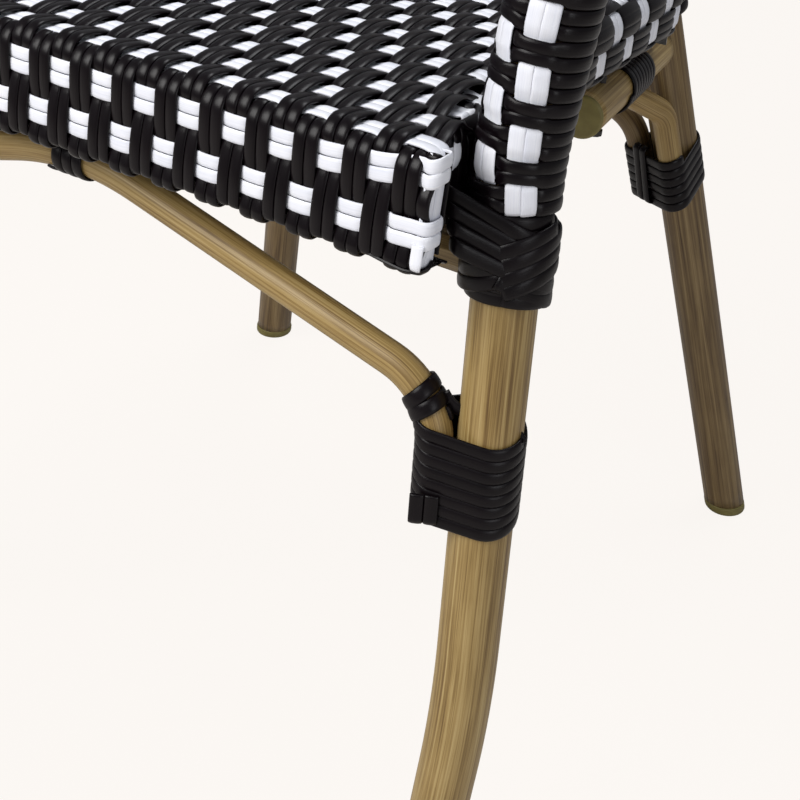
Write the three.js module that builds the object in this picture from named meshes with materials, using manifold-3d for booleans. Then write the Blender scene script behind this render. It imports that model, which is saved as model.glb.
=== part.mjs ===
// Bistro armchair: bamboo-look metal tube frame, seat, arms and back woven in flat strip.
// Millimetres, +Z up, the front of the chair faces -Y.
// The origin is on the floor, at the middle of the footprint.
import * as THREE from 'three';
import { mergeVertices } from 'three/addons/utils/BufferGeometryUtils.js';
import Module from 'manifold-3d';

const wasm = await Module();
wasm.setup();

// Clearances
const FIT_GAP = 0.35;
const SLEEVE_CLEARANCE = 3;
const CUT_OVERRUN = 6;

// Tubes
const LEG_DIAMETER = 30;
const LEG_WALL = 2;
const BRACE_DIAMETER = 16;
const BRACE_WALL = 1.5;
const BEARER_DIAMETER = 24;
const BEARER_WALL = 2;
const CROSS_BEARER_DIAMETER = 20;
const CROSS_BEARER_WALL = 1.5;
const SLAT_DIAMETER = 14;
const SLAT_WALL = 1.5;

// Seat: measured along the seat from the middle of its front edge, which lies at the seat height
const SEAT_HEIGHT = 472;
const SEAT_SLOPE_ANGLE = 3.4;
const SEAT_DEPTH = 383;
const SEAT_BACK_WIDTH = 340;
const SEAT_WAIST_WIDTH = 380;
const SEAT_WAIST_SETBACK = 96;
const SEAT_BAND = 48.4;
const SEAT_EDGE_ROUND = 7;
const SEAT_HORN_REACH = 19;
const SEAT_HORN_ROUND = 9;
const SEAT_NOTCH_ROUND = 5;
const SEAT_BACK_CORNER_ROUND = 36;
const WEAVE_THICKNESS = 3.2;
const WEAVE_LIP = 30;
const WEAVE_COLUMN_PITCH = 12.15;
const WEAVE_COLUMN_OFFSET = 10.1;
const WEAVE_ROW_PITCH = 21.9;
const WEAVE_FIRST_ROW = 13.7;
const WEAVE_CREST = 2.8;
const WEAVE_TROUGH = 0.3;

// Seat frame inside the weave
const RAIL_WIDTH = 20;
const RAIL_WALL = 2;
const SLAT_SETBACKS = { front: 135, back: 255 };
const SLAT_DEPTH = 22;

// Front leg, arm post and arm: one bent tube
const FRONT_FOOT_HALF_SPACING = 235;
const FRONT_FOOT_SETBACK = 0;
const FRONT_BEND_HALF_SPACING = 243;
const FRONT_BEND_SETBACK = 20;
const FRONT_BEND_HEIGHT = 178;
const FRONT_BEND_RADIUS = 700;
const FRONT_POST_HALF_SPACING = 225;
const FRONT_POST_SETBACK = 54;
const FRONT_POST_HEIGHT = 458;
const FRONT_POST_BEND_RADIUS = 200;
const ARM_CORNER_HALF_SPACING = 242;
const ARM_CORNER_SETBACK = 76;
const ARM_HEIGHT = 672;
const ARM_CORNER_RADIUS = 60;
const ARM_BEND_HALF_SPACING = 236;
const ARM_BEND_SETBACK = 352;
const ARM_BEND_RISE = 6;
const ARM_BEND_RADIUS = 90;
const ARM_END_RISE = 8;

// Back leg and back post: one bent tube
const REAR_FOOT_HALF_SPACING = 221;
const REAR_FOOT_SETBACK = 497;
const REAR_POST_HALF_SPACING = 121.5;
const REAR_POST_SETBACK = 401;
const REAR_POST_HEIGHT = 465;
const REAR_POST_BEND_RADIUS = 150;
const BACK_LEAN_ANGLE = 13;
const BACK_FLARE_ANGLE = 9.5;
const POST_JOINT_RISE = 300;
const HOOP_CORNER_RISE = 412;
const HOOP_TOP_RISE = 438;
const HOOP_CORNER_RADIUS = 80;
const HOOP_TOP_RADIUS = 700;
const SPIGOT_LENGTH = 64;
const BACK_RAIL_RISE = 112;

// Woven sleeves and back panel
const SLEEVE_THICKNESS = 5.2;
const SLEEVE_START_DROP = 32;
const SLEEVE_END_LENGTH = 62;
const REAR_SLEEVE_DROP = 42;
const PANEL_THICKNESS = 5;
const PANEL_ROW_PITCH = 23;
const PANEL_CREST = 2.3;
const PANEL_TROUGH = 0.6;

// Arches, knees and bearers, placed from the tubes that carry them
const LASH_SPACING = 1.2;
const ARCH_APEX_RADIUS = 150;
const FRONT_ARCH_BEND_RADIUS = 48;
const FRONT_ARCH_DROP = 119;
const FRONT_ARCH_END_DROP = 187;
const FRONT_ARCH_APEX_DROP = 64;
const FRONT_ARCH_TURN_ANGLE = 215;
const REAR_ARCH_BEND_RADIUS = 24;
const REAR_ARCH_DROP = 116;
const REAR_ARCH_END_DROP = 163;
const REAR_ARCH_APEX_DROP = 66;
const REAR_ARCH_TURN_ANGLE = 195;
const KNEE_DROP = 98;
const KNEE_END_DROP = 163;
const KNEE_BEND_RADIUS = 20;
const KNEE_TOP_SETBACK = 356;
const KNEE_TIP_SETBACK = 306;
const KNEE_TURN_ANGLE = 286;
const BEARER_DROP = 63.6;
const BEARER_TIP_INSET = 7;
const BEARER_TIP_SETBACK = 246;
const CROSS_BEARER_DROP = 61;

// Foot caps and plugs
const CAP_HEIGHT = 8;
const CAP_PROUD = 0.8;
const CAP_CHAMFER = 1.2;
const CAP_STEM = 20;
const CAP_STEM_CLEARANCE = 0.9;
const PLUG_FLANGE = 2.4;
const PLUG_PROUD = 0.3;
const PLUG_STEM = 16;

// Flat strip wound round the joints
const STRIP_WIDTH = 6;
const STRIP_THICKNESS = 1.5;
const STRIP_PITCH = 6.6;
const LASH_GAP = 1;
const FRONT_LASH_TURNS = 7;
const REAR_LASH_TURNS = 5;
const BEARER_LASH_TURNS = 6;
const BEARER_LASH_FROM_TIP = -3;
const COLLAR_TURNS = 2;
const COLLAR_EASE = 0.4;
const POST_WINDING_TURNS = 1;
const POST_WINDING_START_DROP = 38.5;
const LOWER_WINDING_TURNS = 2;
const LOWER_WINDING_START_DROP = 76;
const ARM_WINDING_TURNS = 2;
const ARM_WINDING_FROM_END = 48;
const APEX_LASH_TURNS = 2;

// Screws that hold the seat frame to the bearers
const SCREW_DIAMETER = 5;
const SCREW_HOLE_DIAMETER = 5.8;
const SCREW_HEAD_DIAMETER = 10;
const SCREW_HEAD_HEIGHT = 3;
const SCREW_TIP_DEPTH = 7;
const REAR_SCREW_SETBACK = 276;

// Facets
const LEG_SIDES = 12;
const BRACE_SIDES = 10;
const SLEEVE_SIDES = 12;
const HOOP_SIDES = 10;
const FACET_ANGLE = 24;
const LEAST_STEPS = 2;
const WINDING_STEPS = 12;
const FILLET_SHARE = 0.48;

const BAMBOO = { color: 0x8b794a, roughness: 0.5, metalness: 0.1 };
const BAMBOO_DARK = { color: 0x685838, roughness: 0.5, metalness: 0.1 };
const OLIVE_PLASTIC = { color: 0x706634, roughness: 0.6, metalness: 0 };
const BLACK_STRIP = { color: 0x17100f, roughness: 0.45, metalness: 0 };
const CHECK_WEAVE = { color: 0x6b6b70, roughness: 0.5, metalness: 0 };
const BARE_METAL = { color: 0xa9abad, roughness: 0.4, metalness: 0.9 };

const radians = THREE.MathUtils.degToRad;
const chair = new THREE.Group();
const seatMatrix = new THREE.Matrix4().makeRotationX(-radians(SEAT_SLOPE_ANGLE));
seatMatrix.setPosition(0, 0, SEAT_HEIGHT);
const seatInverse = seatMatrix.clone().invert();
const seatUp = new THREE.Vector3(0, 0, 1).transformDirection(seatMatrix);

function onSeat(x, y, z) {
  return new THREE.Vector3(x, y, z).applyMatrix4(seatMatrix);
}

function mirrored(points) {
  return points.map((point) => new THREE.Vector3(-point.x, point.y, point.z));
}

function arcSteps(angle) {
  return Math.max(LEAST_STEPS, Math.ceil(angle / radians(FACET_ANGLE)));
}

// Straight runs joined by arcs; a bend is { at, radius }.
function bentPath(start, bends, end) {
  const corners = [start, ...bends.map((bend) => bend.at), end];
  const points = [start.clone()];
  bends.forEach((bend, index) => {
    const incoming = bend.at.clone().sub(corners[index]);
    const outgoing = corners[index + 2].clone().sub(bend.at);
    const shorter = Math.min(incoming.length(), outgoing.length());
    incoming.normalize();
    outgoing.normalize();
    const angle = incoming.angleTo(outgoing);
    const reach = Math.min(bend.radius * Math.tan(angle / 2), shorter * FILLET_SHARE);
    const radius = reach / Math.tan(angle / 2);
    const inward = outgoing.clone().sub(incoming).normalize();
    const centre = bend.at.clone().addScaledVector(inward, radius / Math.cos(angle / 2));
    const first = bend.at.clone().addScaledVector(incoming, -reach).sub(centre);
    const last = bend.at.clone().addScaledVector(outgoing, reach).sub(centre);
    const steps = arcSteps(angle);
    for (let step = 0; step <= steps; step += 1) {
      const share = step / steps;
      const point = centre.clone();
      point.addScaledVector(first, Math.sin((1 - share) * angle) / Math.sin(angle));
      point.addScaledVector(last, Math.sin(share * angle) / Math.sin(angle));
      points.push(point);
    }
  });
  points.push(end.clone());
  return points;
}

function pathLength(points) {
  return points.slice(1).reduce((sum, point, index) => sum + point.distanceTo(points[index]), 0);
}

// The stretch of a path between two lengths along it.
function trimPath(points, from, to) {
  const result = [];
  let run = 0;
  for (let index = 1; index < points.length; index += 1) {
    const step = points[index].distanceTo(points[index - 1]);
    for (const cut of [from, to]) {
      if (cut >= run && cut < run + step) {
        result.push(points[index - 1].clone().lerp(points[index], (cut - run) / step));
      }
    }
    run += step;
    if (run > from && run < to) {
      result.push(points[index].clone());
    }
  }
  return result;
}

function lengthAtHeight(points, height) {
  let run = 0;
  for (let index = 1; index < points.length; index += 1) {
    const low = points[index - 1];
    const high = points[index];
    if (low.z <= height && high.z > height) {
      return run + low.distanceTo(high) * (height - low.z) / (high.z - low.z);
    }
    run += low.distanceTo(high);
  }
  return run;
}

function pointAtX(points, x) {
  const index = points.findIndex((point) => point.x <= x);
  const share = (points[index - 1].x - x) / (points[index - 1].x - points[index].x);
  return points[index - 1].clone().lerp(points[index], share);
}

function closedGeometry(positions, triangles) {
  let volume = 0;
  for (const [a, b, c] of triangles) {
    volume += positions[a].dot(positions[b].clone().cross(positions[c]));
  }
  const faces = volume < 0 ? triangles.map(([a, b, c]) => [a, c, b]) : triangles;
  const geometry = new THREE.BufferGeometry();
  const numbers = positions.flatMap((point) => point.toArray());
  geometry.setAttribute('position', new THREE.Float32BufferAttribute(numbers, 3));
  geometry.setIndex(faces.flat());
  return geometry;
}

function pathFrames(points) {
  const tangents = points.map((point, index) => {
    const before = points[Math.max(index - 1, 0)];
    const after = points[Math.min(index + 1, points.length - 1)];
    const back = point.clone().sub(before).normalize();
    const ahead = after.clone().sub(point).normalize();
    return back.add(ahead).normalize();
  });
  const seed = new THREE.Vector3(0, 0, 1);
  if (Math.abs(tangents[0].x) < Math.SQRT1_2) {
    seed.set(1, 0, 0);
  }
  let normal = seed.clone().addScaledVector(tangents[0], -seed.dot(tangents[0])).normalize();
  return tangents.map((tangent, index) => {
    if (index > 0) {
      const turn = new THREE.Quaternion().setFromUnitVectors(tangents[index - 1], tangent);
      normal = normal.clone().applyQuaternion(turn).normalize();
    }
    return { tangent, normal, binormal: tangent.clone().cross(normal) };
  });
}

// A round tube, or a rod where the bore is zero, swept along a path.
// With a floor level its first ring is cut flat at that height.
function sweptTube(points, outer, bore, sides, floorLevel) {
  const frames = pathFrames(points);
  const positions = [];
  const triangles = [];
  const ringPoint = (index, side, radius) => {
    const { tangent, normal, binormal } = frames[index];
    const angle = side / sides * Math.PI * 2;
    const point = points[index].clone();
    point.addScaledVector(normal, Math.cos(angle) * radius);
    point.addScaledVector(binormal, Math.sin(angle) * radius);
    if (index === 0 && floorLevel !== undefined) {
      point.addScaledVector(tangent, (floorLevel - point.z) / tangent.z);
    }
    return point;
  };
  const skins = bore > 0 ? [outer, bore] : [outer];
  skins.forEach((radius) => {
    points.forEach((point, index) => {
      for (let side = 0; side < sides; side += 1) {
        positions.push(ringPoint(index, side, radius));
      }
    });
  });
  const vertex = (skin, index, side) => (skin * points.length + index) * sides + side % sides;
  const band = (fromSkin, fromIndex, toSkin, toIndex, side) => {
    const a = vertex(fromSkin, fromIndex, side);
    const b = vertex(fromSkin, fromIndex, side + 1);
    const c = vertex(toSkin, toIndex, side + 1);
    const d = vertex(toSkin, toIndex, side);
    triangles.push([a, b, c], [a, c, d]);
  };
  const last = points.length - 1;
  for (let side = 0; side < sides; side += 1) {
    for (let index = 0; index < last; index += 1) {
      band(0, index, 0, index + 1, side);
      if (bore > 0) {
        band(1, index + 1, 1, index, side);
      }
    }
    if (bore > 0) {
      band(1, 0, 0, 0, side);
      band(0, last, 1, last, side);
    } else if (side > 0 && side < sides - 1) {
      triangles.push([vertex(0, 0, 0), vertex(0, 0, side + 1), vertex(0, 0, side)]);
      triangles.push([vertex(0, last, 0), vertex(0, last, side), vertex(0, last, side + 1)]);
    }
  }
  return closedGeometry(positions, triangles);
}

// A solid of level round sections along a slanting line: rings of { height, radius }.
function levelLoft(axisPoint, axisDirection, rings, sides) {
  const positions = rings.flatMap(({ height, radius }) => {
    const along = (height - axisPoint.z) / axisDirection.z;
    const centre = axisPoint.clone().addScaledVector(axisDirection, along);
    return Array.from({ length: sides }, (unused, side) => {
      const angle = side / sides * Math.PI * 2;
      const arm = new THREE.Vector3(Math.cos(angle), Math.sin(angle), 0);
      return centre.clone().addScaledVector(arm, radius);
    });
  });
  const triangles = [];
  const last = rings.length - 1;
  for (let side = 0; side < sides; side += 1) {
    const next = (side + 1) % sides;
    for (let ring = 0; ring < last; ring += 1) {
      const low = ring * sides;
      const high = low + sides;
      triangles.push([low + side, low + next, high + next], [low + side, high + next, high + side]);
    }
    if (side > 0 && side < sides - 1) {
      triangles.push([0, side + 1, side], [last * sides, last * sides + side, last * sides + side + 1]);
    }
  }
  return closedGeometry(positions, triangles);
}

function toSolid(geometry) {
  const bare = geometry.clone();
  bare.deleteAttribute('normal');
  bare.deleteAttribute('uv');
  const merged = mergeVertices(bare);
  const vertProperties = new Float32Array(merged.attributes.position.array);
  const triVerts = new Uint32Array(merged.index.array);
  return new wasm.Manifold(new wasm.Mesh({ numProp: 3, vertProperties, triVerts }));
}

function fromSolid(solid) {
  const mesh = solid.getMesh();
  const geometry = new THREE.BufferGeometry();
  geometry.setAttribute('position', new THREE.BufferAttribute(new Float32Array(mesh.vertProperties), 3));
  geometry.setIndex(new THREE.BufferAttribute(new Uint32Array(mesh.triVerts), 1));
  return geometry;
}

function cut(geometry, tools) {
  return fromSolid(tools.reduce((solid, tool) => solid.subtract(toSolid(tool)), toSolid(geometry)));
}

// From the middle of a faceted round hole to its corners, so that a round of the given radius passes.
function clearRadius(radius, sides) {
  return (radius + FIT_GAP) / Math.cos(Math.PI / sides);
}

function addPiece(name, geometry, look) {
  geometry.computeVertexNormals();
  const mesh = new THREE.Mesh(geometry, new THREE.MeshStandardMaterial(look));
  mesh.name = name;
  chair.add(mesh);
}

// One unbroken flat strip wound round one or more parallel tubes.
// Each tube is { offset, radius }, its offset measured from the axis.
function windStrip(name, axisPoint, axisDirection, tubes, turns) {
  const { normal, binormal } = pathFrames([axisPoint, axisPoint.clone().add(axisDirection)])[0];
  const circles = tubes.map(({ offset, radius }) => {
    const [x, y] = [offset.dot(normal), offset.dot(binormal)];
    return { x, y, radius };
  });
  const rise = STRIP_PITCH / WINDING_STEPS;
  const stepAngle = Math.PI * 2 / WINDING_STEPS;
  const support = (angle) => Math.max(...circles.map((circle) => (
    circle.x * Math.cos(angle) + circle.y * Math.sin(angle) + circle.radius + FIT_GAP
  )));
  const aroundTubes = (angle, height) => {
    const here = support(angle) + height;
    const next = support(angle + stepAngle) + height;
    const sideways = (next - here * Math.cos(stepAngle)) / Math.sin(stepAngle);
    const point = normal.clone().multiplyScalar(here * Math.cos(angle) - sideways * Math.sin(angle));
    return point.addScaledVector(binormal, here * Math.sin(angle) + sideways * Math.cos(angle));
  };
  const positions = [];
  const triangles = [];
  const count = turns * WINDING_STEPS;
  for (let step = 0; step <= count; step += 1) {
    const angle = step * stepAngle;
    for (const [along, height] of [[-1, 0], [1, 0], [1, STRIP_THICKNESS], [-1, STRIP_THICKNESS]]) {
      const corner = axisPoint.clone().add(aroundTubes(angle, height));
      positions.push(corner.addScaledVector(axisDirection, step * rise + along * STRIP_WIDTH / 2));
    }
  }
  for (let step = 0; step < count; step += 1) {
    for (let side = 0; side < 4; side += 1) {
      const near = step * 4 + side;
      const next = step * 4 + (side + 1) % 4;
      triangles.push([near, next, next + 4], [near, next + 4, near + 4]);
    }
  }
  const tip = count * 4;
  triangles.push([0, 2, 1], [0, 3, 2], [tip, tip + 1, tip + 2], [tip, tip + 2, tip + 3]);
  let leastGap = Infinity;
  for (let step = 0; step + WINDING_STEPS <= count; step += 1) {
    leastGap = Math.min(leastGap, positions[step * 4 + 1].distanceTo(positions[(step + WINDING_STEPS) * 4]));
  }
  if (Number.isFinite(leastGap)) {
    console.log(`${name}: least gap between turns ${leastGap.toFixed(2)} mm`);
  }
  addPiece(name, closedGeometry(positions, triangles), BLACK_STRIP);
}

// Outline with rounded corners; a corner is { x, y, round }.
function roundedOutline(corners) {
  const points = [];
  corners.forEach((corner, index) => {
    const here = new THREE.Vector2(corner.x, corner.y);
    const before = corners[(index + corners.length - 1) % corners.length];
    const after = corners[(index + 1) % corners.length];
    const toBefore = new THREE.Vector2(before.x, before.y).sub(here);
    const toAfter = new THREE.Vector2(after.x, after.y).sub(here);
    const shorter = Math.min(toBefore.length(), toAfter.length());
    toBefore.normalize();
    toAfter.normalize();
    const half = Math.acos(THREE.MathUtils.clamp(toBefore.dot(toAfter), -1, 1)) / 2;
    const reach = Math.min(corner.round / Math.tan(half), shorter * FILLET_SHARE);
    const first = here.clone().addScaledVector(toBefore, reach);
    const last = here.clone().addScaledVector(toAfter, reach);
    const middle = toBefore.clone().add(toAfter).normalize();
    const centre = here.clone().addScaledVector(middle, reach / Math.cos(half));
    const spread = Math.PI - 2 * half;
    const fromCentre = first.clone().sub(centre);
    const toCentre = last.clone().sub(centre);
    const steps = arcSteps(spread);
    for (let step = 0; step <= steps; step += 1) {
      const share = step / steps;
      const point = centre.clone();
      point.addScaledVector(fromCentre, Math.sin((1 - share) * spread) / Math.sin(spread));
      point.addScaledVector(toCentre, Math.sin(share * spread) / Math.sin(spread));
      points.push(point);
    }
  });
  return points;
}

// The outline moved inward by a distance, for an outline that runs anticlockwise.
function insetOutline(points, distance) {
  return points.map((point, index) => {
    const before = points[(index + points.length - 1) % points.length];
    const after = points[(index + 1) % points.length];
    const first = point.clone().sub(before).normalize();
    const second = after.clone().sub(point).normalize();
    const inward = new THREE.Vector2(-first.y - second.y, first.x + second.x).normalize();
    const stretch = distance / Math.max(inward.dot(new THREE.Vector2(-first.y, first.x)), FILLET_SHARE);
    return point.clone().addScaledVector(inward, stretch);
  });
}

function extruded(outline, depth, bottom, edgeRound) {
  const settings = { depth, bevelEnabled: false, steps: 1 };
  if (edgeRound > 0) {
    Object.assign(settings, {
      depth: depth - 2 * edgeRound,
      bevelEnabled: true,
      bevelThickness: edgeRound,
      bevelSize: edgeRound,
      bevelOffset: -edgeRound,
      bevelSegments: 2,
    });
  }
  const geometry = new THREE.ExtrudeGeometry(new THREE.Shape(outline), settings);
  geometry.translate(0, 0, bottom + edgeRound);
  return geometry;
}

// Routes of the main tubes, right side; the left side is mirrored
const legRadius = LEG_DIAMETER / 2;
const legBore = legRadius - LEG_WALL;
const sleeveBore = clearRadius(legRadius, SLEEVE_SIDES);
const sleeveRadius = sleeveBore + SLEEVE_THICKNESS;
const backUp = new THREE.Vector3(0, Math.sin(radians(BACK_LEAN_ANGLE)), Math.cos(radians(BACK_LEAN_ANGLE)));
const flare = Math.tan(radians(BACK_FLARE_ANGLE));
const backFoot = new THREE.Vector3(0, REAR_POST_SETBACK, REAR_POST_HEIGHT);

function onBack(x, rise) {
  return backFoot.clone().setX(x).addScaledVector(backUp, rise);
}

function postHalfSpacing(rise) {
  return REAR_POST_HALF_SPACING + flare * rise;
}

const rearFoot = new THREE.Vector3(REAR_FOOT_HALF_SPACING, REAR_FOOT_SETBACK, CAP_HEIGHT);
const rearLegPath = bentPath(
  rearFoot,
  [{ at: onBack(REAR_POST_HALF_SPACING, 0), radius: REAR_POST_BEND_RADIUS }],
  onBack(postHalfSpacing(POST_JOINT_RISE), POST_JOINT_RISE),
);
const hoopHalf = [
  onBack(postHalfSpacing(POST_JOINT_RISE), POST_JOINT_RISE).addScaledVector(backUp, FIT_GAP),
  { at: onBack(postHalfSpacing(HOOP_CORNER_RISE), HOOP_CORNER_RISE), radius: HOOP_CORNER_RADIUS },
];
const hoopPath = bentPath(
  hoopHalf[0],
  [
    hoopHalf[1],
    { at: onBack(0, HOOP_TOP_RISE), radius: HOOP_TOP_RADIUS },
    { at: mirrored([hoopHalf[1].at])[0], radius: HOOP_CORNER_RADIUS },
  ],
  mirrored([hoopHalf[0]])[0],
);
const armEndRise = (ARM_HEIGHT + ARM_END_RISE - REAR_POST_HEIGHT) / backUp.z;
const armEnd = onBack(postHalfSpacing(armEndRise), armEndRise);
const frontLegPath = bentPath(
  new THREE.Vector3(FRONT_FOOT_HALF_SPACING, FRONT_FOOT_SETBACK, CAP_HEIGHT),
  [
    {
      at: new THREE.Vector3(FRONT_BEND_HALF_SPACING, FRONT_BEND_SETBACK, FRONT_BEND_HEIGHT),
      radius: FRONT_BEND_RADIUS,
    },
    {
      at: new THREE.Vector3(FRONT_POST_HALF_SPACING, FRONT_POST_SETBACK, FRONT_POST_HEIGHT),
      radius: FRONT_POST_BEND_RADIUS,
    },
    {
      at: new THREE.Vector3(ARM_CORNER_HALF_SPACING, ARM_CORNER_SETBACK, ARM_HEIGHT),
      radius: ARM_CORNER_RADIUS,
    },
    {
      at: new THREE.Vector3(ARM_BEND_HALF_SPACING, ARM_BEND_SETBACK, ARM_HEIGHT + ARM_BEND_RISE),
      radius: ARM_BEND_RADIUS,
    },
  ],
  armEnd,
);

// The point on a tube's axis at a drop below the seat top, and the tube's direction there
function carrierAt(path, drop) {
  const heights = path.map((point) => point.clone().applyMatrix4(seatInverse).z);
  const index = heights.findIndex((height) => height > -drop);
  const share = (-drop - heights[index - 1]) / (heights[index] - heights[index - 1]);
  const direction = path[index].clone().sub(path[index - 1]).normalize();
  return { point: path[index - 1].clone().lerp(path[index], share), direction };
}

function carrierOffset(direction, turnAngle, distance) {
  const turn = radians(turnAngle);
  const level = new THREE.Vector3(Math.cos(turn), Math.sin(turn), 0);
  return level.addScaledVector(direction, -level.dot(direction)).normalize().multiplyScalar(distance);
}

// Legs, arms and back hoop
const postRod = sweptTube(rearLegPath, clearRadius(legRadius, LEG_SIDES), 0, LEG_SIDES);
const legRod = sweptTube(frontLegPath, clearRadius(legRadius, LEG_SIDES), 0, LEG_SIDES);
const mirror = new THREE.Matrix4().makeScale(-1, 1, 1);

function mirroredGeometry(geometry) {
  const copy = geometry.clone().applyMatrix4(mirror);
  const order = copy.index.array;
  for (let corner = 0; corner < order.length; corner += 3) {
    [order[corner + 1], order[corner + 2]] = [order[corner + 2], order[corner + 1]];
  }
  return copy;
}

function addPair(name, geometry, look) {
  addPiece(`${name}_left`, mirroredGeometry(geometry), look);
  addPiece(`${name}_right`, geometry, look);
}

const bothLegRods = [legRod, mirroredGeometry(legRod)];
const bothPostRods = [postRod, mirroredGeometry(postRod)];
const frontTube = sweptTube(frontLegPath, legRadius, legBore, LEG_SIDES, CAP_HEIGHT + FIT_GAP);
addPair('front_leg_and_arm', cut(frontTube, [postRod]), BAMBOO);
const rearTube = sweptTube(rearLegPath, legRadius, legBore, LEG_SIDES, CAP_HEIGHT + FIT_GAP);
addPair('back_leg_and_post', rearTube, BAMBOO_DARK);
addPiece('back_hoop', sweptTube(hoopPath, legRadius, legBore, HOOP_SIDES), BAMBOO);
const spigotMiddle = onBack(postHalfSpacing(POST_JOINT_RISE), POST_JOINT_RISE);
const postDirection = onBack(flare, 1).sub(onBack(0, 0)).normalize();
const spigotPath = [-1, 1].map((end) => (
  spigotMiddle.clone().addScaledVector(postDirection, end * SPIGOT_LENGTH / 2)
));
addPair('post_spigot', sweptTube(spigotPath, legBore * Math.cos(Math.PI / HOOP_SIDES) - FIT_GAP * 2,
  legBore - LEG_WALL * 2, LEG_SIDES), BARE_METAL);

// Foot caps: a stem in the tube and a cap under it, level with the floor
function addCaps(name, path) {
  const direction = path[1].clone().sub(path[0]).normalize();
  const stem = legBore - CAP_STEM_CLEARANCE;
  const cap = legRadius + CAP_PROUD;
  const rings = [
    { height: 0, radius: cap - CAP_CHAMFER },
    { height: CAP_CHAMFER, radius: cap },
    { height: CAP_HEIGHT, radius: cap },
    { height: CAP_HEIGHT, radius: stem },
    { height: CAP_HEIGHT + CAP_STEM, radius: stem },
  ];
  addPair(name, levelLoft(path[0], direction, rings, LEG_SIDES), OLIVE_PLASTIC);
}

addCaps('front_foot_cap', frontLegPath);
addCaps('back_foot_cap', rearLegPath);

// Woven seat: a shell over the seat frame, open below inside a folded lip
const postAtSeat = new THREE.Vector3(FRONT_POST_HALF_SPACING, FRONT_POST_SETBACK, FRONT_POST_HEIGHT);
postAtSeat.applyMatrix4(seatInverse);
const notchHalfWidth = postAtSeat.x - sleeveRadius - SLEEVE_CLEARANCE;
const notchFront = postAtSeat.y - sleeveRadius - SLEEVE_CLEARANCE;
const hornHalfWidth = notchHalfWidth + SEAT_HORN_REACH;
const rightCorners = [
  { x: hornHalfWidth, y: 0, round: SEAT_HORN_ROUND },
  { x: hornHalfWidth, y: notchFront, round: SEAT_HORN_ROUND },
  { x: notchHalfWidth, y: notchFront, round: SEAT_NOTCH_ROUND },
  { x: SEAT_WAIST_WIDTH / 2, y: SEAT_WAIST_SETBACK, round: SEAT_BACK_CORNER_ROUND },
  { x: SEAT_BACK_WIDTH / 2, y: SEAT_DEPTH, round: SEAT_BACK_CORNER_ROUND },
];
const leftCorners = rightCorners.map((corner) => ({ ...corner, x: -corner.x })).reverse();
const seatOutline = roundedOutline([...rightCorners, ...leftCorners]);
const seatShell = extruded(seatOutline, SEAT_BAND, -SEAT_BAND, SEAT_EDGE_ROUND);
const cavityHeight = SEAT_BAND - 2 * WEAVE_THICKNESS;
const cavityOutline = insetOutline(seatOutline, WEAVE_THICKNESS);
const cavity = extruded(cavityOutline, cavityHeight, WEAVE_THICKNESS - SEAT_BAND, 0);
const sideSlope = (SEAT_WAIST_WIDTH - SEAT_BACK_WIDTH) / 2 / (SEAT_DEPTH - SEAT_WAIST_SETBACK);

function seatHalfWidth(setback) {
  return SEAT_WAIST_WIDTH / 2 - sideSlope * (setback - SEAT_WAIST_SETBACK);
}

const mouthCorners = [WEAVE_LIP + CUT_OVERRUN, SEAT_DEPTH - WEAVE_LIP].map((setback) => (
  { x: seatHalfWidth(setback) - WEAVE_LIP, y: setback, round: SEAT_HORN_ROUND }
));
const mouthOutline = roundedOutline([
  ...mouthCorners,
  ...mouthCorners.map((corner) => ({ ...corner, x: -corner.x })).reverse(),
]);
const mouth = extruded(mouthOutline, WEAVE_THICKNESS + 2 * CUT_OVERRUN, -SEAT_BAND - CUT_OVERRUN, 0);

// A slab with the relief of the weave: its faces are high where a column of strip passes over a row.
// A face gives the height at a crossing that is over (true) or under (false).
function reliefSlab(columns, rows, upperFace, lowerFace) {
  const isOver = (column, row) => (column.count + row.count) % 2 === 0;
  const positions = [upperFace, lowerFace].flatMap((face) => rows.flatMap((row) => (
    columns.map((column) => new THREE.Vector3(column.at, row.at, face(isOver(column, row))))
  )));
  const layer = columns.length * rows.length;
  const triangles = [];
  for (let j = 0; j + 1 < rows.length; j += 1) {
    for (let i = 0; i + 1 < columns.length; i += 1) {
      const near = j * columns.length + i;
      const far = near + columns.length;
      const upper = isOver(columns[i], rows[j])
        ? [[near, near + 1, far + 1], [near, far + 1, far]]
        : [[near, near + 1, far], [near + 1, far + 1, far]];
      triangles.push(...upper, ...upper.map((corners) => corners.map((corner) => corner + layer).reverse()));
    }
  }
  const last = layer - columns.length;
  const wall = (from, to) => triangles.push([from, from + layer, to + layer], [from, to + layer, to]);
  for (let i = 0; i + 1 < columns.length; i += 1) {
    wall(i, i + 1);
    wall(last + i + 1, last + i);
  }
  for (let j = 0; j < last; j += columns.length) {
    wall(j + columns.length, j);
    wall(j + columns.length - 1, j + 2 * columns.length - 1);
  }
  return toSolid(closedGeometry(positions, triangles));
}

function latticeLines(first, pitch, from, to) {
  const lines = [];
  for (let count = Math.ceil((from - first) / pitch); first + count * pitch <= to; count += 1) {
    lines.push({ count: Math.abs(count), at: first + count * pitch });
  }
  return lines;
}

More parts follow.
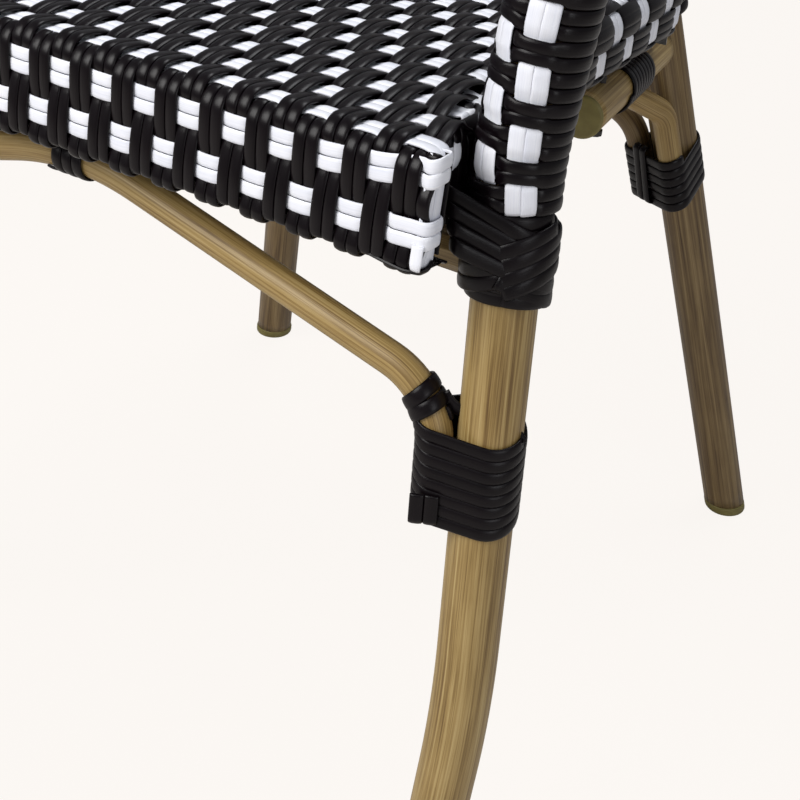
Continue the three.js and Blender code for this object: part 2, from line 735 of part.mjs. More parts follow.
const reliefColumns = latticeLines(WEAVE_COLUMN_OFFSET, WEAVE_COLUMN_PITCH,
  -hornHalfWidth - WEAVE_COLUMN_PITCH, hornHalfWidth + WEAVE_COLUMN_PITCH);
const reliefRows = latticeLines(WEAVE_FIRST_ROW, WEAVE_ROW_PITCH, 0, SEAT_DEPTH - WEAVE_FIRST_ROW);
const seatRelief = reliefSlab(reliefColumns, reliefRows,
  (over) => (over ? WEAVE_CREST : WEAVE_TROUGH), () => -WEAVE_THICKNESS / 2);
const reliefField = extruded(insetOutline(seatOutline, SEAT_EDGE_ROUND), SEAT_BAND, -SEAT_BAND / 2, 0);
const seatTop = toSolid(reliefField).intersect(seatRelief);

// Bearers under the seat
const bearerRadius = BEARER_DIAMETER / 2;
const crossRadius = CROSS_BEARER_DIAMETER / 2;
const frontCarrier = carrierAt(frontLegPath, CROSS_BEARER_DROP);
const frontCarrierOnSeat = frontCarrier.point.clone().applyMatrix4(seatInverse);
const rearCarrier = carrierAt(rearLegPath, BEARER_DROP);
const rearCarrierOnSeat = rearCarrier.point.clone().applyMatrix4(seatInverse);
const railInset = WEAVE_THICKNESS + FIT_GAP;

function sideRailOuter(setback) {
  return seatHalfWidth(setback) - railInset * Math.hypot(1, sideSlope);
}

const bearerTipHalfSpacing = sideRailOuter(BEARER_TIP_SETBACK) - BEARER_TIP_INSET;
const bearerTip = onSeat(bearerTipHalfSpacing, BEARER_TIP_SETBACK, -BEARER_DROP);
const bearerDirection = rearCarrier.point.clone().sub(bearerTip).normalize();

function screwAt(x, setback, bearerDrop, radius) {
  const headTop = -bearerDrop - radius - FIT_GAP;
  const levels = [headTop - SCREW_HEAD_HEIGHT, headTop, SCREW_TIP_DEPTH - SEAT_BAND];
  return { x, setback, levels };
}

const frontScrew = screwAt(sideRailOuter(frontCarrierOnSeat.y) - RAIL_WIDTH / 2, frontCarrierOnSeat.y,
  CROSS_BEARER_DROP, crossRadius);
const bearerShare = (REAR_SCREW_SETBACK - BEARER_TIP_SETBACK) / (rearCarrierOnSeat.y - BEARER_TIP_SETBACK);
const rearScrew = screwAt(THREE.MathUtils.lerp(bearerTipHalfSpacing, rearCarrierOnSeat.x, bearerShare),
  REAR_SCREW_SETBACK, BEARER_DROP, bearerRadius);
const screws = [frontScrew, rearScrew];

function screwHole({ x, setback, levels }) {
  const path = [onSeat(x, setback, levels[0] - CUT_OVERRUN), onSeat(x, setback, levels[2] + CUT_OVERRUN)];
  return sweptTube(path, SCREW_HOLE_DIAMETER / 2, 0, BRACE_SIDES);
}

function seatScrew({ x, setback, levels }) {
  const radii = [SCREW_HEAD_DIAMETER / 2, SCREW_HEAD_DIAMETER / 2, SCREW_DIAMETER / 2, SCREW_DIAMETER / 2];
  const heights = [levels[0], levels[1], levels[1], levels[2]];
  const rings = radii.map((radius, index) => ({ height: heights[index], radius }));
  const axisPoint = new THREE.Vector3(x, setback, 0);
  const upward = new THREE.Vector3(0, 0, 1);
  return levelLoft(axisPoint, upward, rings, BRACE_SIDES).applyMatrix4(seatMatrix);
}

const screwHoles = screws.flatMap((screw) => [screwHole(screw), mirroredGeometry(screwHole(screw))]);
const wovenShell = toSolid(seatShell).add(seatTop);
const wovenSeat = fromSolid(wovenShell.subtract(toSolid(cavity)).subtract(toSolid(mouth)));
addPiece('woven_seat', cut(wovenSeat.applyMatrix4(seatMatrix), screwHoles), CHECK_WEAVE);
addPair('front_seat_screw', seatScrew(frontScrew), BARE_METAL);
addPair('back_seat_screw', seatScrew(rearScrew), BARE_METAL);

const crossBore = crossRadius - CROSS_BEARER_WALL;
const crossPath = [frontCarrier.point, ...mirrored([frontCarrier.point])];
const crossTube = sweptTube(crossPath, crossRadius, crossBore, BRACE_SIDES);
addPiece('front_cross_bearer', cut(crossTube, [...bothLegRods, ...screwHoles]), BAMBOO);
const rearCrossPath = [rearCarrier.point, ...mirrored([rearCarrier.point])];
const rearCrossTube = sweptTube(rearCrossPath, crossRadius, crossBore, BRACE_SIDES);
addPiece('back_cross_bearer', cut(rearCrossTube, bothPostRods), BAMBOO_DARK);
const bearerBore = bearerRadius - BEARER_WALL;
const bearerTube = sweptTube([bearerTip, rearCarrier.point], bearerRadius, bearerBore, BRACE_SIDES);
addPair('side_bearer', cut(bearerTube, [postRod, ...screwHoles]), BAMBOO);

// Plugs in the front ends of the side bearers
const plugFace = bearerTip.clone().addScaledVector(bearerDirection, -FIT_GAP);
const plugRod = (from, to, radius) => sweptTube([
  plugFace.clone().addScaledVector(bearerDirection, from),
  plugFace.clone().addScaledVector(bearerDirection, to),
], radius, 0, BRACE_SIDES);
const plugFlange = toSolid(plugRod(-PLUG_FLANGE, 0, bearerRadius + PLUG_PROUD));
const plugStemRadius = bearerBore * Math.cos(Math.PI / BRACE_SIDES) - FIT_GAP;
const plugStem = toSolid(plugRod(-PLUG_FLANGE / 2, PLUG_STEM, plugStemRadius));
addPair('bearer_plug', fromSolid(plugFlange.add(plugStem)), OLIVE_PLASTIC);

// Seat frame: rectangular tubes, open at their ends
function boxTube(length, alongX) {
  const height = SEAT_BAND - 2 * railInset;
  const across = new THREE.Shape();
  const half = RAIL_WIDTH / 2;
  const corners = [[-half, 0], [half, 0], [half, height], [-half, height]];
  across.setFromPoints(corners.map(([x, y]) => new THREE.Vector2(x, y)));
  const hole = new THREE.Path();
  const inner = half - RAIL_WALL;
  const low = RAIL_WALL;
  const high = height - RAIL_WALL;
  const holeCorners = [[-inner, low], [-inner, high], [inner, high], [inner, low]];
  hole.setFromPoints(holeCorners.map(([x, y]) => new THREE.Vector2(x, y)));
  across.holes.push(hole);
  const geometry = new THREE.ExtrudeGeometry(across, { depth: length, bevelEnabled: false });
  geometry.rotateX(Math.PI / 2);
  geometry.translate(0, length, railInset - SEAT_BAND);
  if (alongX) {
    geometry.rotateZ(-Math.PI / 2);
  }
  return geometry;
}

const railCore = toSolid(extruded(insetOutline(seatOutline, railInset), SEAT_BAND, -SEAT_BAND, 0));

function fittedRail(geometry) {
  const trimmed = fromSolid(toSolid(geometry).intersect(railCore));
  return cut(trimmed.applyMatrix4(seatMatrix), screwHoles);
}

const frontRailLength = 2 * hornHalfWidth;
const frontRail = boxTube(frontRailLength, true);
frontRail.translate(-frontRailLength / 2, railInset + RAIL_WIDTH / 2, 0);
addPiece('seat_front_rail', fittedRail(frontRail), BARE_METAL);
const backRail = boxTube(SEAT_BACK_WIDTH, true);
const backRailSetback = SEAT_DEPTH - railInset - RAIL_WIDTH / 2;
backRail.translate(-SEAT_BACK_WIDTH / 2, backRailSetback, 0);
addPiece('seat_back_rail', fittedRail(backRail), BARE_METAL);
const sideStart = railInset + RAIL_WIDTH + 2 * FIT_GAP;
const sideEnd = backRailSetback - RAIL_WIDTH / 2 - 2 * FIT_GAP;
const sideAngle = Math.atan(sideSlope);
const skewAllowance = RAIL_WIDTH * Math.sin(sideAngle);
const sideLength = (sideEnd - sideStart) / Math.cos(sideAngle) - skewAllowance;
const sideRail = boxTube(sideLength, false);
sideRail.translate(-RAIL_WIDTH / 2, 0, 0);
sideRail.rotateZ(sideAngle);
sideRail.translate(sideRailOuter(sideStart), sideStart + skewAllowance, 0);
addPair('seat_side_rail', fittedRail(sideRail), BARE_METAL);
for (const [place, setback] of Object.entries(SLAT_SETBACKS)) {
  const reach = sideRailOuter(setback + SLAT_DIAMETER) - RAIL_WIDTH / Math.cos(sideAngle) - FIT_GAP;
  const slatPath = [-reach, reach].map((x) => onSeat(x, setback, -SLAT_DEPTH));
  addPiece(`seat_cross_tube_${place}`, sweptTube(slatPath, SLAT_DIAMETER / 2, SLAT_DIAMETER / 2 - SLAT_WALL,
    BRACE_SIDES), BARE_METAL);
}

// Braces, each with ends that run along the leg they are lashed to
const braceRadius = BRACE_DIAMETER / 2;
const braceOffset = legRadius + braceRadius + LASH_SPACING;

function braceStart(path, drop, turnAngle) {
  const { point, direction } = carrierAt(path, drop);
  return point.add(carrierOffset(direction, turnAngle, braceOffset));
}

function archPath(path, endDrop, bendDrop, radius, apex, turnAngle) {
  const end = braceStart(path, endDrop, turnAngle);
  const corner = { at: braceStart(path, bendDrop, turnAngle), radius };
  const far = { at: mirrored([corner.at])[0], radius };
  return bentPath(end, [corner, { at: apex, radius: ARCH_APEX_RADIUS }, far], mirrored([end])[0]);
}

function braceTube(path) {
  return sweptTube(path, braceRadius, braceRadius - BRACE_WALL, BRACE_SIDES);
}

const apexOffset = crossRadius + braceRadius + LASH_SPACING;
const frontApex = onSeat(0, frontCarrierOnSeat.y - apexOffset, -FRONT_ARCH_APEX_DROP);
const frontArchPath = archPath(frontLegPath, FRONT_ARCH_END_DROP, FRONT_ARCH_DROP, FRONT_ARCH_BEND_RADIUS,
  frontApex, FRONT_ARCH_TURN_ANGLE);
addPiece('front_arch_brace', braceTube(frontArchPath), BAMBOO);
const rearApex = onSeat(0, rearCarrierOnSeat.y + apexOffset, -REAR_ARCH_APEX_DROP);
const rearArchPath = archPath(rearLegPath, REAR_ARCH_END_DROP, REAR_ARCH_DROP, REAR_ARCH_BEND_RADIUS,
  rearApex, REAR_ARCH_TURN_ANGLE);
addPiece('back_arch_brace', braceTube(rearArchPath), BAMBOO_DARK);
const kneeUnder = bearerRadius + braceRadius + LASH_SPACING;

function underBearer(setback) {
  const share = (setback - BEARER_TIP_SETBACK) / (rearCarrierOnSeat.y - BEARER_TIP_SETBACK);
  return bearerTip.clone().lerp(rearCarrier.point, share).addScaledVector(seatUp, -kneeUnder);
}

const kneePath = bentPath(
  braceStart(rearLegPath, KNEE_END_DROP, KNEE_TURN_ANGLE),
  [
    { at: braceStart(rearLegPath, KNEE_DROP, KNEE_TURN_ANGLE), radius: KNEE_BEND_RADIUS },
    { at: underBearer(KNEE_TOP_SETBACK), radius: KNEE_BEND_RADIUS },
  ],
  underBearer(KNEE_TIP_SETBACK),
);
addPair('side_knee_brace', braceTube(kneePath), BAMBOO);

// Woven sleeves over the arm posts and arms, and over the back posts and hoop
const rearSleeveStart = carrierAt(rearLegPath, REAR_SLEEVE_DROP).point;
const rearAbove = trimPath(rearLegPath, lengthAtHeight(rearLegPath, rearSleeveStart.z), Infinity);
const backSleevePath = [...rearAbove, ...hoopPath.slice(1, -1), ...mirrored(rearAbove).reverse()];
addPiece('woven_back_sleeve', cut(sweptTube(backSleevePath, sleeveRadius, sleeveBore, SLEEVE_SIDES),
  bothLegRods), CHECK_WEAVE);
const armSleeveStart = lengthAtHeight(frontLegPath, carrierAt(frontLegPath, SLEEVE_START_DROP).point.z);
const armSleeveEnd = pathLength(frontLegPath) - sleeveRadius - SLEEVE_END_LENGTH;
const armSleevePath = trimPath(frontLegPath, armSleeveStart, armSleeveEnd);
addPair('woven_arm_sleeve', sweptTube(armSleevePath, sleeveRadius, sleeveBore, SLEEVE_SIDES), CHECK_WEAVE);

// Lower rail of the back and the woven panel above it
const lowerRailPath = [onBack(postHalfSpacing(BACK_RAIL_RISE), BACK_RAIL_RISE)];
lowerRailPath.push(...mirrored(lowerRailPath));
const sleeveRod = sweptTube(rearAbove, clearRadius(sleeveRadius, SLEEVE_SIDES), 0, SLEEVE_SIDES);
addPiece('back_lower_rail', cut(braceTube(lowerRailPath), [sleeveRod, mirroredGeometry(sleeveRod)]), BAMBOO);
const panelMatrix = new THREE.Matrix4().makeBasis(new THREE.Vector3(1, 0, 0), backUp,
  new THREE.Vector3(1, 0, 0).cross(backUp));
panelMatrix.setPosition(backFoot);
const panelInverse = panelMatrix.clone().invert();
const panelFoot = BACK_RAIL_RISE + braceRadius + FIT_GAP;
const panelSpine = [onBack(postHalfSpacing(panelFoot), panelFoot), ...hoopPath.slice(1, -1)];
panelSpine.push(mirrored([panelSpine[0]])[0]);
const panelEdge = panelSpine.map((point) => point.clone().applyMatrix4(panelInverse));
const panelInset = sleeveRadius + FIT_GAP;
const panelOutline = panelEdge.map((point, index) => {
  const before = panelEdge[Math.max(index - 1, 0)];
  const after = panelEdge[Math.min(index + 1, panelEdge.length - 1)];
  const along = new THREE.Vector2(after.x - before.x, after.y - before.y).normalize();
  const inside = new THREE.Vector2(point.x - along.y * panelInset, point.y + along.x * panelInset);
  const atFoot = index === 0 || index === panelEdge.length - 1;
  return atFoot ? inside.addScaledVector(along, (panelFoot - inside.y) / along.y) : inside;
});
const panel = extruded(panelOutline, PANEL_THICKNESS, -PANEL_THICKNESS / 2, 0);
const panelReach = Math.max(...panelOutline.map((point) => Math.abs(point.x))) + WEAVE_COLUMN_PITCH;
const panelTop = Math.max(...panelOutline.map((point) => point.y)) + PANEL_ROW_PITCH;
const panelRelief = reliefSlab(
  latticeLines(0, WEAVE_COLUMN_PITCH, -panelReach, panelReach),
  latticeLines(panelFoot + PANEL_ROW_PITCH / 2, PANEL_ROW_PITCH, panelFoot - PANEL_ROW_PITCH, panelTop),
  (over) => (over ? PANEL_CREST : PANEL_TROUGH),
  (over) => (over ? -PANEL_TROUGH : -PANEL_CREST),
);
const wovenPanel = toSolid(panel).intersect(panelRelief);
addPiece('woven_back_panel', fromSolid(wovenPanel).applyMatrix4(panelMatrix), CHECK_WEAVE);

// Windings of flat strip
const origin = new THREE.Vector3();
const legOnly = [{ offset: origin, radius: legRadius }];

function addWindingPair(name, start, direction, tubes, turns) {
  windStrip(`${name}_right`, start, direction, tubes, turns);
  const flip = (vector) => vector.clone().setX(-vector.x);
  const flipped = tubes.map(({ offset, radius }) => ({ offset: flip(offset), radius }));
  windStrip(`${name}_left`, flip(start), flip(direction), flipped, turns);
}

function windDownLeg(name, path, drop, turnAngles, turns) {
  const { point, direction } = carrierAt(path, drop);
  const braces = turnAngles.map((angle) => ({
    offset: carrierOffset(direction, angle, braceOffset),
    radius: braceRadius,
  }));
  addWindingPair(name, point, direction.clone().negate(), [...legOnly, ...braces], turns);
}

// The drop at which every given brace runs along its leg
function straightDrop(bracePaths) {
  const lowest = Math.min(...bracePaths.map((path) => path[1].clone().applyMatrix4(seatInverse).z));
  return LASH_GAP + STRIP_WIDTH / 2 - lowest;
}

windDownLeg('front_leg_lashing', frontLegPath, straightDrop([frontArchPath]), [FRONT_ARCH_TURN_ANGLE],
  FRONT_LASH_TURNS);
windDownLeg('back_leg_lashing', rearLegPath, straightDrop([rearArchPath, kneePath]),
  [REAR_ARCH_TURN_ANGLE, KNEE_TURN_ANGLE], REAR_LASH_TURNS);
windDownLeg('upper_post_winding', frontLegPath, POST_WINDING_START_DROP, [], POST_WINDING_TURNS);
windDownLeg('lower_post_winding', frontLegPath, LOWER_WINDING_START_DROP, [], LOWER_WINDING_TURNS);

const lashSetback = KNEE_TIP_SETBACK + BEARER_LASH_FROM_TIP;
const lashShare = (lashSetback - BEARER_TIP_SETBACK) / (rearCarrierOnSeat.y - BEARER_TIP_SETBACK);
addWindingPair('bearer_lashing', bearerTip.clone().lerp(rearCarrier.point, lashShare), bearerDirection, [
  { offset: origin, radius: bearerRadius },
  { offset: seatUp.clone().multiplyScalar(-kneeUnder), radius: braceRadius },
], BEARER_LASH_TURNS);
const [collarFrom, collarTo] = frontArchPath.slice(2, 4);
const archRun = collarTo.clone().sub(collarFrom).normalize();
const collarMiddle = collarFrom.clone().lerp(collarTo, 1 / 2);
const collarStart = collarMiddle.addScaledVector(archRun, -COLLAR_TURNS * STRIP_PITCH / 2);
const archOnly = [{ offset: origin, radius: braceRadius + COLLAR_EASE }];
addWindingPair('front_arch_collar', collarStart, archRun, archOnly, COLLAR_TURNS);
const armRun = armEnd.clone().sub(frontLegPath[frontLegPath.length - 2]).normalize();
const armWindingStart = armEnd.clone().addScaledVector(armRun, -ARM_WINDING_FROM_END - sleeveRadius);
addWindingPair('arm_end_winding', armWindingStart, armRun, legOnly, ARM_WINDING_TURNS);

// Each arch is lashed in the middle to the cross bearer beside it
function lashApex(name, path, bearerPoint) {
  const reach = (APEX_LASH_TURNS * STRIP_PITCH + STRIP_WIDTH) / 2;
  const middle = pointAtX(path, 0);
  const sag = pointAtX(path, reach).setX(0).sub(middle).divideScalar(2);
  const start = middle.clone().setX(APEX_LASH_TURNS * STRIP_PITCH / 2);
  const bearerOffset = bearerPoint.clone().setX(0).sub(middle);
  windStrip(name, start, new THREE.Vector3(-1, 0, 0), [
    { offset: sag, radius: braceRadius + sag.length() },
    { offset: bearerOffset, radius: crossRadius },
  ], APEX_LASH_TURNS);
}

lashApex('front_apex_lashing', frontArchPath, frontCarrier.point);
lashApex('back_apex_lashing', rearArchPath, rearCarrier.point);

// The origin goes to the middle of the footprint on the floor
const box = new THREE.Box3().setFromObject(chair);
const centre = box.getCenter(new THREE.Vector3());
chair.children.forEach((mesh) => mesh.geometry.translate(-centre.x, -centre.y, -box.min.z));

export default chair;
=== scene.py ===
import math

import bpy
import numpy as np
from mathutils import Matrix, Vector


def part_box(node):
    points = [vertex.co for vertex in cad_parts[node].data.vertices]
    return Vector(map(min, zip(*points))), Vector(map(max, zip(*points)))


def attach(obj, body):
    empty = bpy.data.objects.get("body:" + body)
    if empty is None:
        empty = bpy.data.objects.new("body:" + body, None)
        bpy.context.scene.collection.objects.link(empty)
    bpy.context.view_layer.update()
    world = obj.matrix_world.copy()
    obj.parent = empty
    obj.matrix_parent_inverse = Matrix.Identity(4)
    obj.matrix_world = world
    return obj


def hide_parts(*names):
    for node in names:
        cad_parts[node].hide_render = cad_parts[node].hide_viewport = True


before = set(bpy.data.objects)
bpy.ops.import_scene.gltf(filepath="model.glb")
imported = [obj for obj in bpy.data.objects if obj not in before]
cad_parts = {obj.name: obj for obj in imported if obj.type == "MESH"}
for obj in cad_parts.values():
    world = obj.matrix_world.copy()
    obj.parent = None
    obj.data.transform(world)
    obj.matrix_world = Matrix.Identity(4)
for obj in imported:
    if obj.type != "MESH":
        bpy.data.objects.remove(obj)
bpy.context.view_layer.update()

# Frames: seat coordinates have x right, y back from the front edge, z square to the seat top, in millimetres
SLOPE = math.radians(3.4)
COS, SIN = math.cos(SLOPE), math.sin(SLOPE)
SEAT_HEIGHT = 471.8
BAND = 48.4
BAND_FOLD = 7.0
FRONT_BAND = 51.5
FRONT_LEAN_SHARE = 0.09
SHIFT_Y = -SIN * (BAND - BAND_FOLD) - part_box("woven_seat")[0].y * 1000.0


def seat_to_chair(p):
    p = np.asarray(p, float)
    return np.stack([p[..., 0], p[..., 1] * COS + p[..., 2] * SIN,
                     SEAT_HEIGHT - p[..., 1] * SIN + p[..., 2] * COS], -1)


def seat_dir(v):
    v = np.asarray(v, float)
    return np.stack([v[..., 0], v[..., 1] * COS + v[..., 2] * SIN, -v[..., 1] * SIN + v[..., 2] * COS], -1)


def to_world(p):
    p = np.array(p, float)
    p[..., 1] -= SHIFT_Y
    return p / 1000.0


def unit(v):
    v = np.asarray(v, float)
    return v / np.maximum(np.linalg.norm(v, axis=-1, keepdims=True), 1e-9)


def triples(*parts):
    """Rows of three numbers from three parts, each an array or one value for all rows."""
    return np.stack(np.broadcast_arrays(*parts), -1)


def new_object(name, data):
    obj = bpy.data.objects.new(name, data)
    bpy.context.scene.collection.objects.link(obj)
    return obj


# Camera, fitted to the photograph
PHOTO_PIXELS = 800.0
FOCAL_PIXELS = 1491.43
AXIS_X_PIXELS, AXIS_Y_PIXELS = 394.86, 395.80
SENSOR_WIDTH = 36.0
CAMERA_PLACE = (477.465, -463.913, 707.161)
RIGHT = Vector((0.841767, 0.536976, 0.055539))
DOWN = Vector((0.33302, -0.435546, -0.8363))
AHEAD = Vector((-0.424883, 0.722466, -0.545452))
camera_data = bpy.data.cameras.new("camera")
camera = new_object("camera", camera_data)
turned = Matrix((RIGHT, -DOWN, -AHEAD)).transposed()
camera.matrix_world = Matrix.Translation(Vector(to_world(CAMERA_PLACE))) @ turned.to_4x4()
camera_data.sensor_fit = 'HORIZONTAL'
camera_data.sensor_width = SENSOR_WIDTH
camera_data.lens = FOCAL_PIXELS * SENSOR_WIDTH / PHOTO_PIXELS
camera_data.shift_x = (PHOTO_PIXELS / 2 - AXIS_X_PIXELS) / PHOTO_PIXELS
camera_data.shift_y = -(PHOTO_PIXELS / 2 - AXIS_Y_PIXELS) / PHOTO_PIXELS
camera_data.clip_start = 0.02
bpy.context.scene.camera = camera
bpy.context.scene.view_settings.view_transform = 'Standard'


# Materials
def srgb(red, green, blue):
    shares = [value / 255.0 for value in (red, green, blue)]
    return (*[c / 12.92 if c <= 0.04045 else ((c + 0.055) / 1.055) ** 2.4 for c in shares], 1.0)


def node(tree, kind, links=None, **values):
    """A new node; links feed its inputs, in_ values set inputs and the rest set properties."""
    made = tree.nodes.new(kind)
    for key, value in values.items():
        if key.startswith("in_"):
            made.inputs[key[3:].replace("_", " ")].default_value = value
        else:
            setattr(made, key, value)
    for key, output in (links or {}).items():
        tree.links.new(output, made.inputs[key])
    return made


def scaled(tree, vector, factors):
    made = node(tree, "ShaderNodeVectorMath", {0: vector}, operation='MULTIPLY')
    made.inputs[1].default_value = factors
    return made.outputs[0]


def noise(tree, vector, detail, rough=0.5, scale=1.0):
    return node(tree, "ShaderNodeTexNoise", {"Vector": vector}, in_Scale=scale, in_Detail=detail,
                in_Roughness=rough).outputs["Fac"]


def weighted_sum(tree, parts):
    """The sum of outputs, each times its share."""
    total = None
    for output, share in parts:
        part = node(tree, "ShaderNodeMath", {0: output}, operation='MULTIPLY')
        part.inputs[1].default_value = share
        if total is None:
            total = part.outputs[0]
        else:
            total = node(tree, "ShaderNodeMath", {0: total, 1: part.outputs[0]}, operation='ADD').outputs[0]
    return total


def new_material(name):
    material = bpy.data.materials.new(name)
    material.use_nodes = True
    return material, material.node_tree


def finish_surface(tree, shade, stops, relief, strength, values, distance=0.0002):
    """Colour the surface by stops over shade, roughen it by relief and set its other values."""
    surface = tree.nodes["Principled BSDF"]
    ramp = node(tree, "ShaderNodeValToRGB", {"Fac": shade})
    marks = ramp.color_ramp.elements
    while len(marks) > 1:
        marks.remove(marks[-1])
    marks[0].position, marks[0].color = stops[0]
    for position, colour in stops[1:]:
        marks.new(position).color = colour
    tree.links.new(ramp.outputs["Color"], surface.inputs["Base Color"])
    bump = node(tree, "ShaderNodeBump", {"Height": relief}, in_Strength=strength, in_Distance=distance)
    tree.links.new(bump.outputs["Normal"], surface.inputs["Normal"])
    for key, value in values.items():
        surface.inputs[key].default_value = value


def strip_material(name, base, dark, light, rough, specular):
    """Plastic strip, with streaks along each strip and a shade of its own for each."""
    material, tree = new_material(name)
    place = node(tree, "ShaderNodeAttribute", attribute_name="strip").outputs["Vector"]
    fine = noise(tree, scaled(tree, place, (0.05, 2.6, 1.0)), 3.0, 0.6)
    broad = noise(tree, scaled(tree, place, (0.02, 0.1, 3.7)), 1.0)
    shade = weighted_sum(tree, [(fine, 0.5), (broad, 0.5)])
    stops = [(0.3, srgb(*dark)), (0.5, srgb(*base)), (0.72, srgb(*light))]
    finish_surface(tree, shade, stops, fine, 0.35, {"Roughness": rough, "Specular IOR Level": specular})
    return material


def bamboo_material(name, colours, own_position=False):
    """A printed bamboo look, with its grain along a tube, or along x where the object's own place is used."""
    material, tree = new_material(name)
    if own_position:
        metres = node(tree, "ShaderNodeTexCoord").outputs["Object"]
        millimetres = scaled(tree, metres, (1000.0, 1000.0, 1000.0))
        split = node(tree, "ShaderNodeSeparateXYZ", {0: millimetres}).outputs
        turned = {"X": split["Y"], "Y": split["Z"], "Z": split["X"]}
        place = node(tree, "ShaderNodeCombineXYZ", turned).outputs["Vector"]
    else:
        place = node(tree, "ShaderNodeAttribute", attribute_name="grain").outputs["Vector"]
    streak = noise(tree, scaled(tree, place, (0.55, 0.55, 0.006)), 5.0, 0.66)
    fine = noise(tree, scaled(tree, place, (1.7, 1.7, 0.02)), 2.0, 0.6)
    broad = noise(tree, scaled(tree, place, (0.09, 0.09, 0.012)), 2.0)
    warp = noise(tree, scaled(tree, place, (0.12, 0.12, 0.045)), 3.0, 0.6)
    shade = weighted_sum(tree, [(streak, 0.56), (fine, 0.22), (broad, 0.16), (warp, 0.06)])
    stops = [(at, srgb(*colour)) for at, colour in zip((0.36, 0.45, 0.52, 0.62), colours)]
    finish_surface(tree, shade, stops, fine, 0.25, {"Roughness": 0.42, "Specular IOR Level": 0.4}, 0.0003)
    return material


def moulded_material(name, base, light):
    material, tree = new_material(name)
    place = node(tree, "ShaderNodeTexCoord").outputs["Object"]
    patches = noise(tree, place, 3.0, scale=90.0)
    grit = noise(tree, place, 2.0, scale=900.0)
    finish_surface(tree, patches, [(0.35, srgb(*base)), (0.7, srgb(*light))], grit, 0.15, {"Roughness": 0.55})
    return material


def metal_material(name):
    material, tree = new_material(name)
    haze = noise(tree, node(tree, "ShaderNodeTexCoord").outputs["Object"], 4.0, scale=220.0)
    stops = [(0.3, (0.42, 0.43, 0.44, 1.0)), (0.7, (0.56, 0.57, 0.58, 1.0))]
    finish_surface(tree, haze, stops, haze, 0.1, {"Metallic": 1.0, "Roughness": 0.38})
    return material


black_mat = strip_material("black_strip_plastic", (10, 5, 8), (6, 3, 5), (15, 10, 13), 0.30, 0.20)
wind_mat = strip_material("black_winding_plastic", (11, 6, 9), (7, 4, 6), (17, 12, 15), 0.33, 0.19)
white_mat = strip_material("white_strip_plastic", (226, 228, 236), (212, 215, 226), (238, 239, 243),
                           0.42, 0.4)
bamboo_mat = bamboo_material("bamboo_look_tube",
                             [(88, 62, 30), (126, 101, 56), (152, 127, 78), (178, 155, 106)])
dark_bamboo_mat = bamboo_material("dark_bamboo_look_tube",
                                  [(64, 46, 27), (94, 74, 46), (116, 95, 61), (141, 120, 83)])
rail_bamboo_mat = bamboo_material("rail_bamboo_look_tube",
                                  [(76, 55, 28), (108, 86, 50), (132, 110, 68), (158, 136, 94)], True)
screw_mat = moulded_material("dark_screw_finish", (26, 23, 22), (38, 35, 33))
olive_mat = moulded_material("olive_moulded_plastic", (106, 96, 48), (124, 114, 62))
metal_mat = metal_material("mill_finish_metal")

# Looks: a material and a slot name
BLACK_CHECK, WHITE_CHECK = (black_mat, "check_weave"), (white_mat, "check_weave")
# The lining look is a black sheet of painted shade under the seat weave; the windings are real black strip
PAINTED_SHADE_LINING, WINDING = (wind_mat, "check_weave"), (wind_mat, "black_strip")
BAMBOO, DARK_BAMBOO = (bamboo_mat, "bamboo_tube"), (dark_bamboo_mat, "dark_bamboo_tube")
PLASTIC, METAL = (olive_mat, "foot_plastic"), (metal_mat, "bare_metal")


# Mesh builders
class Batch:
    """Collects swept strips or tubes and turns them into one mesh."""

    def __init__(self, attribute="strip"):
        self.verts, self.faces, self.smooth, self.attr, self.count = [], [], [], [], 0
        self.attribute = attribute

    def sweep(self, rings, attr=None, flat_sides=(), flat_rows=(), closed=False):
        """Join n rings of k points in chair millimetres; closed joins the last ring to the first one."""
        n, k = rings.shape[:2]
        base = self.count
        self.verts.append(rings.reshape(-1, 3))
        self.attr.append(np.zeros((n * k, 3)) if attr is None else attr.reshape(-1, 3))
        self.count += n * k
        i = np.arange(n if closed else n - 1)[:, None]
        j = np.arange(k)[None, :]
        next_i = (i + 1) % n
        next_j = (j + 1) % k
        quads = np.stack([i * k + j, i * k + next_j, next_i * k + next_j, next_i * k + j], -1) + base
        smooth = np.ones((len(i), k), bool)
        smooth[:, list(flat_sides)] = False
        smooth[list(flat_rows)] = False
        self.faces.extend(quads.reshape(-1, 4).tolist())
        self.smooth.extend(smooth.reshape(-1).tolist())
        if not closed:
            self.faces.append((base + np.arange(k)[::-1]).tolist())
            self.faces.append((base + (n - 1) * k + np.arange(k)).tolist())
            self.smooth.extend([False, False])

    def build(self, name, look, replaces=()):
        material, slot = look
        mesh = bpy.data.meshes.new(name)
        mesh.from_pydata(to_world(np.concatenate(self.verts)).tolist(), [], self.faces)
        mesh.polygons.foreach_set("use_smooth", self.smooth)
        layer = mesh.attributes.new(self.attribute, 'FLOAT_VECTOR', 'POINT')
        layer.data.foreach_set("vector", np.concatenate(self.attr).astype(np.float32).ravel())
        mesh.materials.append(material)
        mesh.update()
        obj = new_object(name, mesh)
        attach(obj, "root")
        if replaces:
            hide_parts(*replaces)


def lengths(points):
    d = np.linalg.norm(np.diff(points, axis=0), axis=1)
    return np.concatenate([[0.0], np.cumsum(d)])


def values_at(at, run, values):
    """Values given per point of a path, such as its points, at other lengths along it."""
    return np.stack([np.interp(at, run, values[:, c]) for c in range(3)], -1)


